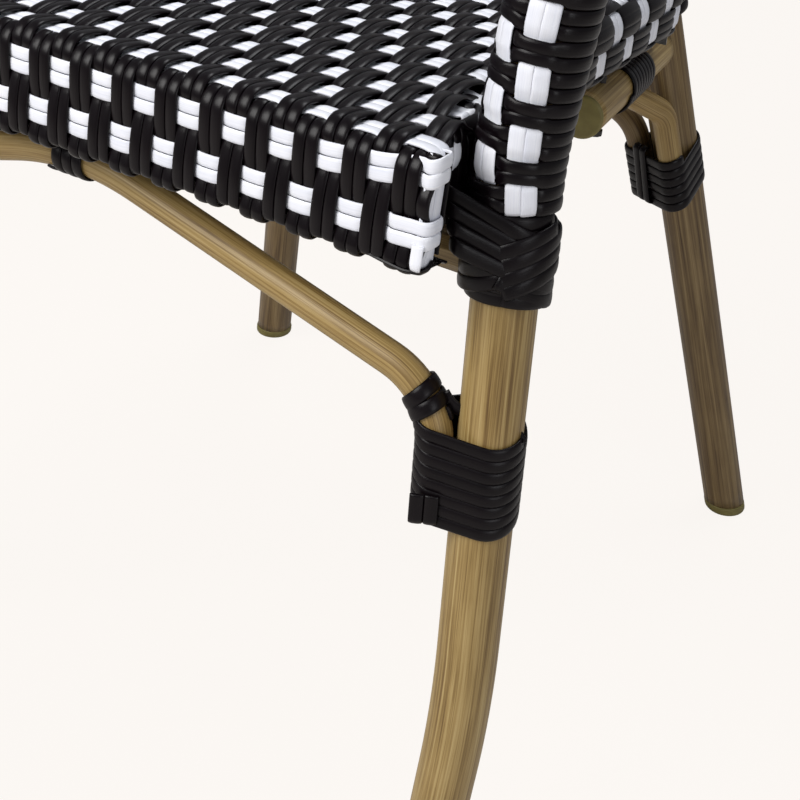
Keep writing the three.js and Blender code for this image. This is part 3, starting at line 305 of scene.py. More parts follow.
# Cross-section of a flat strip with rounded edges: (across, up), both as shares of width and thickness
STRIP_SHARES = np.array([(-0.46, -0.5), (-0.5, -0.05), (-0.42, 0.3), (-0.22, 0.46), (0.0, 0.5), (0.22, 0.46),
                         (0.42, 0.3), (0.5, -0.05), (0.46, -0.5)])
STRIP_FLAT_SIDES = (8, 0, 7)
SHADE_STEP = 1.37
STEP = 1.5
strip_count = [0]


def add_strip(batch, points, normals, width, thick=1.3, crown=1.0, closed=False):
    """A flat strip along points, its top towards the normals; crown stretches the rounded top."""
    points = np.asarray(points, float)
    tangents = unit(np.roll(points, -1, 0) - np.roll(points, 1, 0) if closed else np.gradient(points, axis=0))
    normals = unit(normals)
    normals = unit(normals - np.sum(normals * tangents, -1, keepdims=True) * tangents)
    across = np.cross(tangents, normals)
    width = np.broadcast_to(width, (len(points),))
    shape = STRIP_SHARES.copy()
    shape[:, 1] *= thick
    shape[2:7, 1] *= crown
    rings = (points[:, None, :] + across[:, None, :] * (shape[None, :, :1] * width[:, None, None])
             + normals[:, None, :] * shape[None, :, 1:])
    strip_count[0] += 1
    attr = np.zeros(rings.shape)
    attr[..., 0] = lengths(points)[:, None]
    attr[..., 1] = shape[None, :, 0] * width[:, None]
    attr[..., 2] = strip_count[0] * SHADE_STEP
    batch.sweep(rings, attr, flat_sides=STRIP_FLAT_SIDES, closed=closed)


def add_seat_strip(batch, points, normals, width, thick=1.2, crown=1.0):
    add_strip(batch, seat_to_chair(points), seat_dir(normals), width, thick, crown)


def side_axes(axis):
    """Two unit vectors square to an axis and to each other."""
    seed = np.array([1.0, 0, 0]) if abs(axis[0]) < 0.7071 else np.array([0, 0, 1.0])
    first = unit(seed - seed.dot(axis) * axis)
    return first, np.cross(axis, first)


def frames_along(points):
    """Tangents of a path and two normals each, carried along without twist."""
    tangents = unit(np.gradient(points, axis=0))
    normals = [side_axes(tangents[0])[0]]
    for tangent in tangents[1:]:
        normals.append(unit(normals[-1] - normals[-1].dot(tangent) * tangent))
    normals = np.array(normals)
    return tangents, normals, np.cross(tangents, normals)


GRAIN_RADIUS = 15.0
TUBE_SIDES = 40


def add_tube(batch, points, radius, bore, floor=None, offset=0.0):
    """A round tube with a bore, open at both ends; floor cuts its first end level, offset moves its grain."""
    tangents, n, b = frames_along(points)
    a = np.arange(TUBE_SIDES) / TUBE_SIDES * 2 * np.pi
    ring = n[:, None, :] * np.cos(a)[None, :, None] + b[:, None, :] * np.sin(a)[None, :, None]
    outer = points[:, None, :] + ring * radius
    inner = points[:, None, :] + ring * bore
    attr = np.zeros(outer.shape)
    attr[..., 0] = np.cos(a)[None, :] * GRAIN_RADIUS + offset
    attr[..., 1] = np.sin(a)[None, :] * GRAIN_RADIUS + offset * 0.7
    attr[..., 2] = lengths(points)[:, None] + offset * 13.0
    if floor is not None:
        for skin in (outer, inner):
            shift = (floor - skin[0, :, 2]) / tangents[0][2]
            skin[0] += tangents[0][None, :] * shift[:, None]
    count = len(points)
    batch.sweep(np.concatenate([outer, inner[::-1]]), np.concatenate([attr, attr[::-1]]),
                flat_rows=(count - 1, 2 * count - 1), closed=True)


def bent_path(start, bends, end, step=5.0):
    """The same straight runs and arcs as the tubes have, with more points in the bends."""
    corners = [np.array(start, float)] + [np.array(b[0], float) for b in bends] + [np.array(end, float)]
    points = [corners[0]]
    for index, (at, radius) in enumerate(bends):
        at = np.array(at, float)
        incoming = at - corners[index]
        outgoing = corners[index + 2] - at
        shorter = min(np.linalg.norm(incoming), np.linalg.norm(outgoing))
        incoming, outgoing = unit(incoming), unit(outgoing)
        angle = math.acos(float(np.clip(incoming.dot(outgoing), -1, 1)))
        reach = min(radius * math.tan(angle / 2), shorter * 0.48)
        radius = reach / math.tan(angle / 2)
        centre = at + unit(outgoing - incoming) * (radius / math.cos(angle / 2))
        first = at - incoming * reach - centre
        last = at + outgoing * reach - centre
        steps = max(4, int(angle * radius / step), int(math.degrees(angle) / 5))
        for s in range(steps + 1):
            u = s / steps
            points.append(centre + first * (math.sin((1 - u) * angle) / math.sin(angle))
                          + last * (math.sin(u * angle) / math.sin(angle)))
    points.append(corners[-1])
    dense = [points[0]]
    for p in points[1:]:
        gap = np.linalg.norm(p - dense[-1])
        if gap < 1e-6:
            continue
        parts = max(1, int(math.ceil(gap / 12.0)))
        start_p = dense[-1]
        for s in range(1, parts + 1):
            dense.append(start_p + (p - start_p) * (s / parts))
    return np.array(dense)


def resample(points, step):
    run = lengths(points)
    count = max(2, int(round(run[-1] / step)) + 1)
    return values_at(np.linspace(0, run[-1], count), run, points)


def cut_path(points, start, end):
    run = lengths(points)
    end = min(end, run[-1])
    inside = run[(run > start + 0.01) & (run < end - 0.01)]
    return values_at(np.concatenate([[start], inside, [end]]), run, points)


def mirror_x(points):
    points = np.array(points, float)
    points[..., 0] *= -1
    return points


# Routes of the tubes, in chair millimetres
POST_RADIUS, POST_BORE = 15.0, 13.0
BEARER_RADIUS, BEARER_BORE = 12.0, 10.0
BRACE_RADIUS, BRACE_BORE = 8.0, 6.5
CARRIER_RADIUS = 10.0
JOINT_GAP = 1.2
BRACE_OFFSET = POST_RADIUS + BRACE_RADIUS + JOINT_GAP
BACK_LEAN, POST_FLARE = math.radians(13), math.radians(9.5)
BACK_POST_X = 121.5
BACK_POST_RISE, HOOP_CORNER_RISE, HOOP_TOP_RISE = 300, 412, 438
ARM_END_HEIGHT = 680.0
back_up = np.array([0, math.sin(BACK_LEAN), math.cos(BACK_LEAN)])
back_foot = np.array([0, 401.0, 465.0])


def post_x(rise):
    return BACK_POST_X + math.tan(POST_FLARE) * rise


def on_back(x, rise):
    p = back_foot + back_up * rise
    return np.array([x, p[1], p[2]])


def on_post(rise):
    return on_back(post_x(rise), rise)


arm_end_point = on_post((ARM_END_HEIGHT - back_foot[2]) / back_up[2])
front_path = bent_path((235, 0, 8), [((243, 20, 178), 700), ((225, 54, 458), 200), ((242, 76, 672), 60),
                                     ((236, 352, 678), 90)], arm_end_point)
rear_path = bent_path((221, 497, 8), [(on_post(0), 150)], on_post(BACK_POST_RISE))
hoop_start, hoop_corner = on_post(BACK_POST_RISE), on_post(HOOP_CORNER_RISE)
hoop_path = bent_path(hoop_start, [(hoop_corner, 80), (on_back(0, HOOP_TOP_RISE), 700),
                                   (mirror_x(hoop_corner), 80)], mirror_x(hoop_start))


def drop_at(path, drop):
    """Point and direction of a tube at a drop below the seat top."""
    z = path[:, 1] * SIN + (path[:, 2] - SEAT_HEIGHT) * COS
    i = int(np.argmax(z > -drop))
    share = (-drop - z[i - 1]) / (z[i] - z[i - 1])
    return path[i - 1] + (path[i] - path[i - 1]) * share, unit(path[i] - path[i - 1])


def offset_dir(direction, turn):
    level = np.array([math.cos(math.radians(turn)), math.sin(math.radians(turn)), 0.0])
    return unit(level - level.dot(direction) * direction)


def brace_point(path, drop, turn):
    p, d = drop_at(path, drop)
    return p + offset_dir(d, turn) * BRACE_OFFSET


def seat_point(x, y, z):
    return seat_to_chair(np.array([x, y, z], float))


def setback_of(p):
    return p[1] * COS - (p[2] - SEAT_HEIGHT) * SIN


def arch(path, end_drop, bend_drop, radius, apex, turn):
    end = brace_point(path, end_drop, turn)
    corner = brace_point(path, bend_drop, turn)
    bends = [(corner, radius), (apex, 150), (mirror_x(corner), radius)]
    return bent_path(end, bends, mirror_x(end), step=3.0)


FRONT_TURN, REAR_TURN, KNEE_TURN = 215, 195, 286
ARCH_END_DROP, ARCH_BEND_DROP = 179, 121.5
REAR_END_DROP, REAR_BEND_DROP, KNEE_BEND_DROP = 163, 116, 98
front_carrier, _ = drop_at(front_path, 61)
rear_carrier, _ = drop_at(rear_path, 63.6)
apex_offset = CARRIER_RADIUS + BRACE_RADIUS + JOINT_GAP
front_apex = seat_point(0, setback_of(front_carrier) - apex_offset, -64)
rear_apex = seat_point(0, setback_of(rear_carrier) + apex_offset, -66)
front_arch = arch(front_path, ARCH_END_DROP, ARCH_BEND_DROP, 42, front_apex, FRONT_TURN)
rear_arch = arch(rear_path, REAR_END_DROP, REAR_BEND_DROP, 24, rear_apex, REAR_TURN)

BEARER_SETBACK = 246
KNEE_UNDER, KNEE_INWARD = 14.4, 15.2
bearer_tip = seat_point(168.4, BEARER_SETBACK, -59.4)
bearer_dir = unit(rear_carrier - bearer_tip)
seat_up = seat_dir((0, 0, 1.0))


def on_bearer(setback):
    share = (setback - BEARER_SETBACK) / (setback_of(rear_carrier) - BEARER_SETBACK)
    return bearer_tip + (rear_carrier - bearer_tip) * share


def beside_bearer(setback):
    return on_bearer(setback) - seat_up * KNEE_UNDER - np.array([KNEE_INWARD, 0, 0])


knee_path = bent_path(brace_point(rear_path, REAR_END_DROP, KNEE_TURN),
                      [(brace_point(rear_path, KNEE_BEND_DROP, KNEE_TURN), 20), (beside_bearer(360), 20)],
                      beside_bearer(324), step=3.0)

# Tubes, each right and left where it has two grain offsets
FLOOR_CUT = 8.35
ARM_END_GAP = 16.5
POST, BEARER, BRACE = (POST_RADIUS, POST_BORE), (BEARER_RADIUS, BEARER_BORE), (BRACE_RADIUS, BRACE_BORE)
arm_length = lengths(front_path)[-1]
arm_tube = cut_path(front_path, 0, arm_length - ARM_END_GAP)
bearer_line = resample(np.array([bearer_tip, rear_carrier - bearer_dir * 17.0]), 8)
TUBES = [
    ("leg_and_arm_tube", "front_leg_and_arm", arm_tube, POST, BAMBOO, FLOOR_CUT, (3.0, 61.0)),
    ("back_leg_tube", "back_leg_and_post", rear_path, POST, DARK_BAMBOO, FLOOR_CUT, (17.0, 29.0)),
    ("front_arch_tube", "front_arch_brace", front_arch, BRACE, BAMBOO, None, (77.0,)),
    ("back_arch_tube", "back_arch_brace", rear_arch, BRACE, DARK_BAMBOO, None, (91.0,)),
    ("knee_tube", "side_knee_brace", knee_path, BRACE, BAMBOO, None, (55.0, 65.0)),
    ("side_bearer_tube", "side_bearer", bearer_line, BEARER, BAMBOO, None, (33.0, 37.0)),
]
for name, target, path, radii, look, floor, offsets in TUBES:
    for side, offset in zip(("_right", "_left") if len(offsets) == 2 else ("",), offsets):
        batch = Batch("grain")
        add_tube(batch, mirror_x(path) if side == "_left" else path, *radii, floor, offset)
        batch.build(name + side, look, [target + side])

# Turned pieces: a profile is (height along the axis, radius), from the axis back to the axis
FOOT_CAP = [(0.0, 10.0), (0.0, 13.6), (0.25, 14.5), (0.8, 15.2), (1.7, 15.7), (3.0, 15.85), (6.6, 15.85),
            (7.6, 15.6), (8.0, 15.0), (8.0, 12.1), (27.5, 12.1), (28.0, 11.6)]
FOOT_CAP_HEIGHT = 8
BEARER_PLUG = [(-2.55, 3.0), (-2.6, 10.4), (-2.45, 11.1), (-2.0, 11.9), (-1.4, 12.25), (-0.7, 12.25),
               (-0.35, 12.0), (-0.35, 9.4), (15.0, 9.4), (15.6, 8.8)]
ROUND_SIDES = 48


def round_piece(name, foot, axis, profile, target, level=False):
    """A turned plastic piece; where it is level its rings lie flat, though its axis slants."""
    batch = Batch("grain")
    n, b = (np.array([1.0, 0, 0]), np.array([0, 1.0, 0])) if level else side_axes(axis)
    a = np.arange(ROUND_SIDES) / ROUND_SIDES * 2 * np.pi
    ring = n[None, :] * np.cos(a)[:, None] + b[None, :] * np.sin(a)[:, None]
    rings, attrs = [], []
    for height, radius in profile:
        rings.append(foot + axis * (height / (axis[2] if level else 1.0)) + ring * radius)
        attrs.append(triples(np.cos(a) * radius, np.sin(a) * radius, height))
    batch.sweep(np.array(rings), np.array(attrs))
    batch.build(name, PLASTIC, [target])


def sided(flip, *vectors):
    return [mirror_x(v) if flip else v for v in vectors]


for side, flip in (("right", False), ("left", True)):
    for place, path in (("front", front_path), ("back", rear_path)):
        d = unit(path[1] - path[0])
        foot, d = sided(flip, path[0] - d * (FOOT_CAP_HEIGHT / d[2]), d)
        round_piece(f"foot_cap_{place}_{side}", foot, d, FOOT_CAP, f"{place}_foot_cap_{side}", level=True)
    tip, d = sided(flip, bearer_tip, bearer_dir)
    round_piece(f"bearer_plug_cap_{side}", tip, d, BEARER_PLUG, f"bearer_plug_{side}")

# Woven seat
HALF_PAIR = 3.05
PAIR = 12.15
PAIR_ORIGIN = 10.1
STRIP = 6.0
FIRST_COLUMN, LAST_COLUMN = -18, 17
row_y = {1: 13.7, 2: 33.9, 3: 56.3, 4: 79.2, 5: 102.6, 6: 125.8, 7: 148.6, 8: 170.8}
for k in range(9, 20):
    row_y[k] = row_y[8] + 20.4 * (k - 8)
BAND_ROWS = {1: -14.9, 2: -35.3}
BACK_Y = 383.0
BACK_ROUND = 34.0
HORN_X, HORN_BACK, SIDE_X, HORN_INNER_X = 218.0, 12.0, 206.0, 198.0
NOTCH_BACK_Y, NOTCH_BACK_X = 96.0, 190.0


def half_width(y):
    """Half width of the seat top at a setback, behind the notches for the arm posts."""
    y = np.asarray(y, float)
    x = NOTCH_BACK_X - 20 * (y - NOTCH_BACK_Y) / (BACK_Y - NOTCH_BACK_Y)
    x = np.where(y < NOTCH_BACK_Y, np.minimum(NOTCH_BACK_X + (NOTCH_BACK_Y - y) * 0.42, SIDE_X), x)
    share = np.clip((y - (BACK_Y - BACK_ROUND)) / BACK_ROUND, 0, 0.999)
    return x - BACK_ROUND * (1 - np.sqrt(1 - share ** 2))


def depth_at(x):
    """Setback of the back edge of the seat, which has round corners."""
    share = np.clip((abs(x) - 136) / BACK_ROUND, 0, 0.995)
    return BACK_Y - BACK_ROUND * (1 - math.sqrt(1 - share ** 2))


def walk(corners, radii, q, start, sign=1.0):
    """Points and outward normals at distances q along a square-cornered 2-D route with rounded corners."""
    corners = np.array(corners, float)
    seg = np.diff(corners, axis=0)
    size = np.linalg.norm(seg, axis=1)
    d = seg / size[:, None]
    at = start + np.concatenate([[0], np.cumsum(size)])
    q = np.asarray(q, float)
    idx = np.clip(np.searchsorted(at, q, side='right') - 1, 0, len(seg) - 1)
    pos = corners[idx] + d[idx] * (q - at[idx])[:, None]
    nrm = sign * np.stack([-d[idx][:, 1], d[idx][:, 0]], -1)
    for c in range(1, len(corners) - 1):
        r = radii[c - 1]
        near = np.abs(q - at[c]) < r
        if not near.any():
            continue
        phi = (q[near] - at[c] + r) / (2 * r) * (np.pi / 2)
        d1, d2 = d[c - 1], d[c]
        centre = corners[c] - d1 * r + d2 * r
        n = np.cos(phi)[:, None] * (-d2) + np.sin(phi)[:, None] * d1
        pos[near] = centre + n * r
        nrm[near] = n * math.copysign(1.0, sign * (d1[1] * d2[0] - d1[0] * d2[1]))
    return pos, nrm


def smooth01(t):
    t = np.clip(t, 0, 1)
    return t * t * (3 - 2 * t)


black, white = Batch(), Batch()
BAND_END_Y = 42.0
HALF_WRAP = 3.1


def front_lean(p):
    """The front band leans forward a little towards its lower edge."""
    p = np.array(p, float)
    p[..., 1] += FRONT_LEAN_SHARE * np.minimum(p[..., 2], 0.0) * smooth01((BAND_END_Y - p[..., 1]) / 26.0)
    return p


def row_rise(x, row):
    """The two rows of the front band climb towards the horns."""
    x = np.abs(np.asarray(x, float))
    if row == 1:
        return 6.8 * (np.clip(x - 130, 0, 82) / 82) ** 2.2
    return 1.3 * (np.clip(x - 150, 0, 60) / 50) ** 2


def first_row(x):
    """Setback of the first row on the top, which draws nearer to the edge towards the horns."""
    return 14.8 - 3.4 * smooth01((np.abs(np.asarray(x, float)) - 60) / 120)


def crossings(x, row, fade=3.4, origin=PAIR_ORIGIN):
    """Where a row passes over the columns, and a share from 0 at the edge of a crossing to 1 inside it."""
    cell = np.round((x - origin) / PAIR)
    inward = 0.5 - np.abs((x - origin) / PAIR - cell)
    return ((cell + row).astype(int) % 2) == 1, smooth01(inward * PAIR / fade)


# Columns, which run from front to back
COLUMN_LEVEL = -0.9
COLUMN_HALF = 6.2
SIDE_KEEP = 9.0
ROW_COVER, BAND_COVER = 6.9, 6.6
FOLD_REACH = 32
# Columns beside the posts: wider than, the setback where they end, and the place to which they draw in
SHORT_COLUMNS = [(220.0, HORN_BACK - 4.0, None), (205.0, 40.0, SIDE_X + 1), (192.0, 82.0, NOTCH_BACK_X)]


def set_bump(h, q, a, b, base, height, power):
    """Set h between a and b to a base with a rounded bump on it, or a dip where the height is below zero."""
    t = (q - a) / (b - a)
    inside = (t >= 0) & (t <= 1)
    h[inside] = base + height * np.sin(np.pi * t[inside]) ** power


def column_crest(middle, span):
    """Height of a column's arch between two rows that it dives under."""
    if middle > 26:
        return 2.6 * min(1.0, span / 34)
    return 2.1 if middle > -6 else 1.1


def column_height(q, under, q_lo, q_hi):
    """Height of a strip that dives under rows at the given intervals and arches between them."""
    h = np.full(len(q), COLUMN_LEVEL)
    under = sorted(under)
    for a, b in under:
        set_bump(h, q, a, b, COLUMN_LEVEL, -0.9, 0.6)
    edges = [q_lo] + [edge for interval in under for edge in interval] + [q_hi]
    for a, b in zip(edges[0::2], edges[1::2]):
        if b > a:
            crest = column_crest((a + b) / 2, b - a)
            set_bump(h, q, a, b, COLUMN_LEVEL, crest - COLUMN_LEVEL, 0.75)
    return h


def column_end(wide):
    """Setback where a column ends, or None where it runs over the back edge, and how far it draws in."""
    for limit, end, inner in SHORT_COLUMNS:
        if wide > limit:
            return end, (wide - inner if inner else 0.0)
    ys = np.arange(NOTCH_BACK_Y, BACK_Y, 1.0)
    free = half_width(ys) - SIDE_KEEP > wide
    if free.all():
        return None, 0.0
    return (float(ys[free][-1]) if free.any() else NOTCH_BACK_Y), 0.0


def column_dives(m, x, depth, y_end):
    """Intervals along a column where it passes under a row."""
    under = []
    for k, y in row_y.items():
        y = float(first_row(x)) if k == 1 else y
        if k == 1 and x > 210:
            under += [(y - 8.0, y + 12.0), (-FRONT_BAND - 20.0, -39.0)]
        elif (m + k) % 2 and y < depth - 6:
            under.append((y - ROW_COVER, y + ROW_COVER))
    upper, lower = (BAND_ROWS[row] + float(row_rise(x, row)) for row in (1, 2))
    if m % 2:
        under += [(upper - BAND_COVER, upper + BAND_COVER), (-FRONT_BAND - 16, -FRONT_BAND + 0.5)]
    if m % 2 == 0 or x > 210:
        under.append((lower - BAND_COVER, lower + BAND_COVER))
    if y_end is None:
        for index, below in enumerate((10.0, 32.5)):
            if (m + index) % 2:
                under.append((depth + below, depth + below + 16))
    return under


for m in range(FIRST_COLUMN, LAST_COLUMN + 1):
    middle = PAIR_ORIGIN + PAIR * m
    y_end, drift = column_end(abs(middle) + COLUMN_HALF)
    for x in (middle - HALF_PAIR, middle + HALF_PAIR):
        if x > HORN_X - 3:
            continue
        depth = depth_at(x)
        route = [(30, -FRONT_BAND), (0, -FRONT_BAND), (0, 0), (depth, 0), (depth, -BAND),
                 (depth - FOLD_REACH, -BAND)]
        q_lo = -FRONT_BAND - 22
        q_hi = (depth + BAND + 24) if y_end is None else min(y_end + 7, depth + 4)
        q = np.arange(q_lo, q_hi, STEP)
        under = [interval for interval in column_dives(m, x, depth, y_end) if interval[0] < q_hi - 4]
        h = column_height(q, under, q_lo - 6, q_hi + (6 if y_end is None else 0))
        if y_end is not None:
            h -= 3.4 * smooth01((q - (q_hi - 12)) / 10)
        pos, nrm = walk(route, [5.5, 9.5, 9, 8], q, -FRONT_BAND - 30)
        pos = pos + nrm * (h - 0.6)[:, None]
        x_run = x - math.copysign(drift, x) * smooth01((q - 16) / ((y_end or 400) - 16))
        add_seat_strip(black, front_lean(triples(x_run, *pos.T)), triples(0.0, *nrm.T), 6.05, 1.5, 1.25)

# Rows across the seat: white pairs, with a black strip between them
SIDE_BANDS = [(-18.0, -3.0), (-3.0, 18.0), (18.0, 34.5), (34.5, 50.0)]
SIDE_BAND = 37.5
SIDE_ROUND, FOLD_ROUND = 13.0, 9
BLACK_ROW_OFFSET, BLACK_ROW_WIDTH, BLACK_ROW_TOP = 11.4, 6.4, -2.6
ROW_LEVEL, ROW_LOW, ROW_EDGE_DROP, ROW_SIDE_LEVEL = -0.25, -2.3, 1.05, -1.3


def side_state(k, band):
    """True where a row passes over a side band; bands count outward from the top."""
    return (k + band) % 2 == 1


def row_height(x, k, xe):
    """Height of a row strip along its nominal distance x from the middle; xe is where the top turns down."""
    over, edge = crossings(x, k)
    h = np.where(over, ROW_LEVEL + ROW_EDGE_DROP * (edge - 1),
                 ROW_LEVEL + (ROW_LOW - ROW_LEVEL) * edge - ROW_EDGE_DROP * (1 - edge))
    outer = np.abs(x) > xe - (7.0 if xe > 200 else 16.5)
    d = np.abs(x[outer]) - xe
    side = np.full(len(d), ROW_SIDE_LEVEL)
    for band, (a, b) in enumerate(SIDE_BANDS):
        t = (d - a) / (b - a)
        inside = (t >= 0) & (t < 1)
        edge = smooth01(np.minimum(t[inside], 1 - t[inside]) * (b - a) / 3.4)
        side[inside] = ROW_SIDE_LEVEL + (0.9 if side_state(k, band) else -1.2) * edge
    h[outer] = side
    return h


for k, row_middle in row_y.items():
    if k == 1 or row_middle > BACK_Y - 4:
        continue
    for offset, width, batch in ((-HALF_PAIR, STRIP, white), (HALF_PAIR, STRIP, white),
                                 (BLACK_ROW_OFFSET, BLACK_ROW_WIDTH, black)):
        y = row_middle + offset
        if y > BACK_Y - 3:
            continue
        xe = SIDE_X if k == 2 or (k == 3 and offset < 5) else float(half_width(y))
        reach = xe + SIDE_BAND + 22
        x = np.arange(-reach, reach, STEP)
        h = row_height(x, k, xe)
        if batch is black:
            h = np.minimum(h, BLACK_ROW_TOP)
        route = [(-xe + FOLD_REACH, -SIDE_BAND), (-xe, -SIDE_BAND), (-xe, 0), (xe, 0), (xe, -SIDE_BAND),
                 (xe - FOLD_REACH, -SIDE_BAND)]
        rounds = [FOLD_ROUND, SIDE_ROUND, SIDE_ROUND, FOLD_ROUND]
        pos, nrm = walk(route, rounds, x, -xe - SIDE_BAND - FOLD_REACH)
        pos = pos + nrm * h[:, None]
        add_seat_strip(batch, triples(pos[:, 0], y, pos[:, 1]), triples(nrm[:, 0], 0.0, nrm[:, 1]), width)

# Black strips along the sides of the seat, parallel to its edge
ROW_HALF, ROW_STEP = 6.3, 22
SIDE_LEVEL = -0.8


def side_strip_height(y, band):
    """Height of a side strip, which dives under the rows that pass over its band and arches between them."""
    h = np.full(len(y), SIDE_LEVEL)
    for k, middle in row_y.items():
        if not side_state(k, band):
            low, high = row_y.get(k - 1, middle - ROW_STEP), row_y.get(k + 1, middle + ROW_STEP)
            set_bump(h, y, low + ROW_HALF, high - ROW_HALF, SIDE_LEVEL, 1.5, 0.75)
        elif k > 1:
            set_bump(h, y, middle - ROW_HALF, middle + ROW_HALF, SIDE_LEVEL, -1.9, 0.5)
    return h


for flip in (1, -1):
    for band, (a, b) in enumerate(SIDE_BANDS):
        count = 2 if band == 0 else 3
        pitch = (b - a) / count
        y = np.arange(44.0 if band else 92.0, BACK_Y - 6, STEP)
        heights = side_strip_height(y, band)
        for index in range(count):
            p, n = [], []
            for setback, h in zip(y, heights):
                xe = float(half_width(setback))
                route = [(0, 0), (xe, 0), (xe, -SIDE_BAND), (xe - FOLD_REACH, -SIDE_BAND)]
                pos, nrm = walk(route, [SIDE_ROUND, FOLD_ROUND], [xe + a + pitch * (index + 0.5)], 0.0)
                pos = pos + nrm * h
                p.append((flip * pos[0, 0], setback, pos[0, 1]))
                n.append((flip * nrm[0, 0], 0.0, nrm[0, 1]))
            add_seat_strip(black, p, n, pitch * 0.97 if band in (1, 2) else pitch - 0.15, 1.5, 1.2)


# Rows on the front band: two white pairs, round both horns of the seat
def flat_weave(over, edge, dive):
    return np.where(over, -0.65 * (2 - edge), -0.65 - dive * edge - 0.65 * (1 - edge))


def band_row(row, shift):
    route = [(-HORN_INNER_X, BAND_END_Y), (-HORN_INNER_X, HORN_BACK), (-HORN_X, HORN_BACK), (-HORN_X, 0),
             (HORN_X, 0), (HORN_X, HORN_BACK), (HORN_INNER_X, HORN_BACK), (HORN_INNER_X, BAND_END_Y)]
    start = -(HORN_X + HORN_BACK + (HORN_X - HORN_INNER_X) + (BAND_END_Y - HORN_BACK))
    reach = HORN_X + HORN_BACK + 9
    q = np.arange(-reach, reach, STEP)
    h = flat_weave(*crossings(q, row + 1, 3.2), 1.75)
    inward = row - 1
    for past in (q - (PAIR_ORIGIN + PAIR * (16.5 - inward)), PAIR_ORIGIN - PAIR * (18.5 - inward) - q):
        wrap = past > inward - 1
        h[wrap] = (-1.3 + 1.6 * smooth01(past / 3.0))[wrap]
    h -= 2.6 * smooth01((np.abs(q) - (HORN_X + HORN_BACK - 3)) / 6)
    pos, nrm = walk(route, [5, 4, 3.5, 3.5, 4, 5], q, start, -1.0)
    z = BAND_ROWS[row] + shift + row_rise(pos[:, 0], row)
    z = z + (1.8 if row == 1 else 0.5) * smooth01((np.abs(q) - (HORN_X - 5)) / 10)
    pos = pos + nrm * h[:, None]
    add_seat_strip(white, front_lean(triples(*pos.T, z)), triples(*nrm.T, 0.0), 6.2)


for row in BAND_ROWS:
    for shift in (HALF_WRAP, -HALF_WRAP):
        band_row(row, shift)


# The corner of the seat in front of each post
def first_pair_strip(flip, shift, y_side, inset, facing, split):
    """A strip of the first white pair, which turns down over the horn and stands upright on its corner."""
    x = np.arange(0.0, HORN_X + FRONT_BAND + 1, STEP)
    h = flat_weave(*crossings(flip * x, 1), 1.65)
    h[x > (198.0 if flip == 1 else 203.0)] = -0.4
    h -= 1.3 * smooth01((x - HORN_X) / 7)
    route = [(0, 0), (HORN_X, 0), (HORN_X, -FRONT_BAND), (HORN_X - 30, -FRONT_BAND)]
    pos, nrm = walk(route, [7, 6], x, 0.0)
    y_top = first_row(np.minimum(x, HORN_X)) + shift
    y = y_top + (y_side - y_top) * smooth01((x - (HORN_X - 14)) / 20)
    turned = smooth01((x - HORN_X - 7) / 7)
    pos = pos + nrm * (h - inset * turned)[:, None]
    p = front_lean(triples(flip * pos[:, 0], y, pos[:, 1]))
    n = triples(flip * nrm[:, 0], facing * turned, nrm[:, 1])
    if not split:
        add_seat_strip(white, p, n, 6.0)
        return
    over_top, corner = x < HORN_X + 8, x > HORN_X + 12
    n[over_top, 1] = 0.0
    p[over_top, 1] = np.maximum(p[over_top, 1], 4.6)
    add_seat_strip(white, p[over_top], n[over_top], 6.0)
    add_seat_strip(white, p[corner], n[corner], 5.1)


def short_end(flip):
    """A short end of white strip beside the first pair, below the second row."""
    z = np.arange(-FRONT_BAND + 3.5, -36.0, 1.0)
    low = np.maximum(-FRONT_BAND + 7 - z, 0)
    p = front_lean(triples(flip * (214.6 - low * 0.1), -1.2 + low ** 2 * 0.09, z))
    add_seat_strip(white, p, triples(flip * 0.1, -1.0, -0.08 * low), 5.4 - low * 0.3)


def horn_edge(flip):
    """The black strip round the lower edge of the horn."""
    corners = np.array([(190.0, 4.0, -48.6), (200.0, 2.4, -49.4), (209.0, 2.0, -50.2), (214.5, 3.2, -50.2),
                        (216.8, 5.8, -48.8), (216.4, 8.2, -46.4)])
    curve = values_at(np.linspace(0, len(corners) - 1, 40), range(len(corners)), corners)
    for _ in range(3):
        curve[1:-1] = (curve[:-2] + 2 * curve[1:-1] + curve[2:]) / 4
    outward = smooth01((curve[:, 0] - 206) / 10) * 0.8
    out = triples(outward, -0.35 + 0.05 * curve[:, 1], -0.8)
    curve, out = sided(flip < 0, curve, out)
    add_seat_strip(black, front_lean(curve), out, 6.4, 1.5, 1.2)


for flip in (1, -1):
    first_pair_strip(flip, -HALF_WRAP, 2.0, 1.9, -0.9, True)
    first_pair_strip(flip, HALF_WRAP, 6.7, 0.0, -0.05, False)
    short_end(flip)
    horn_edge(flip)

# Black ribs behind each horn and along the notch for the post
RIB_PITCH = 6.1
for flip in (1, -1):
    route = [(HORN_X - 3, HORN_BACK - 1.2), (206.5, HORN_BACK - 1.2), (204.6, HORN_BACK + 4), (204.2, 44.0)]
    line = resample(triples(*np.array(route).T, 0.0), RIB_PITCH)
    facing = unit(np.cross(np.gradient(line, axis=0), np.array([0.0, 0.0, 1.0])))
    for spot, out in zip(line, facing):
        out = out if out[1] > 0.2 or out[0] > 0 else -out
        z = np.arange(-FRONT_BAND + 8.0, -1.0, 2.0)
        low, high = np.maximum(-FRONT_BAND + 8 - z, 0), np.maximum(z + 7.0, 0)
        p = triples(spot[0], spot[1], z) - out * (low ** 2 * 0.07 + high ** 2 * 0.09)[:, None]
        n = triples(out[0], out[1], out[2] + high * 0.18 - low * 0.14)
        p, n = sided(flip < 0, p, n)
        add_seat_strip(black, front_lean(p), n, 6.3, 1.5, 1.2)
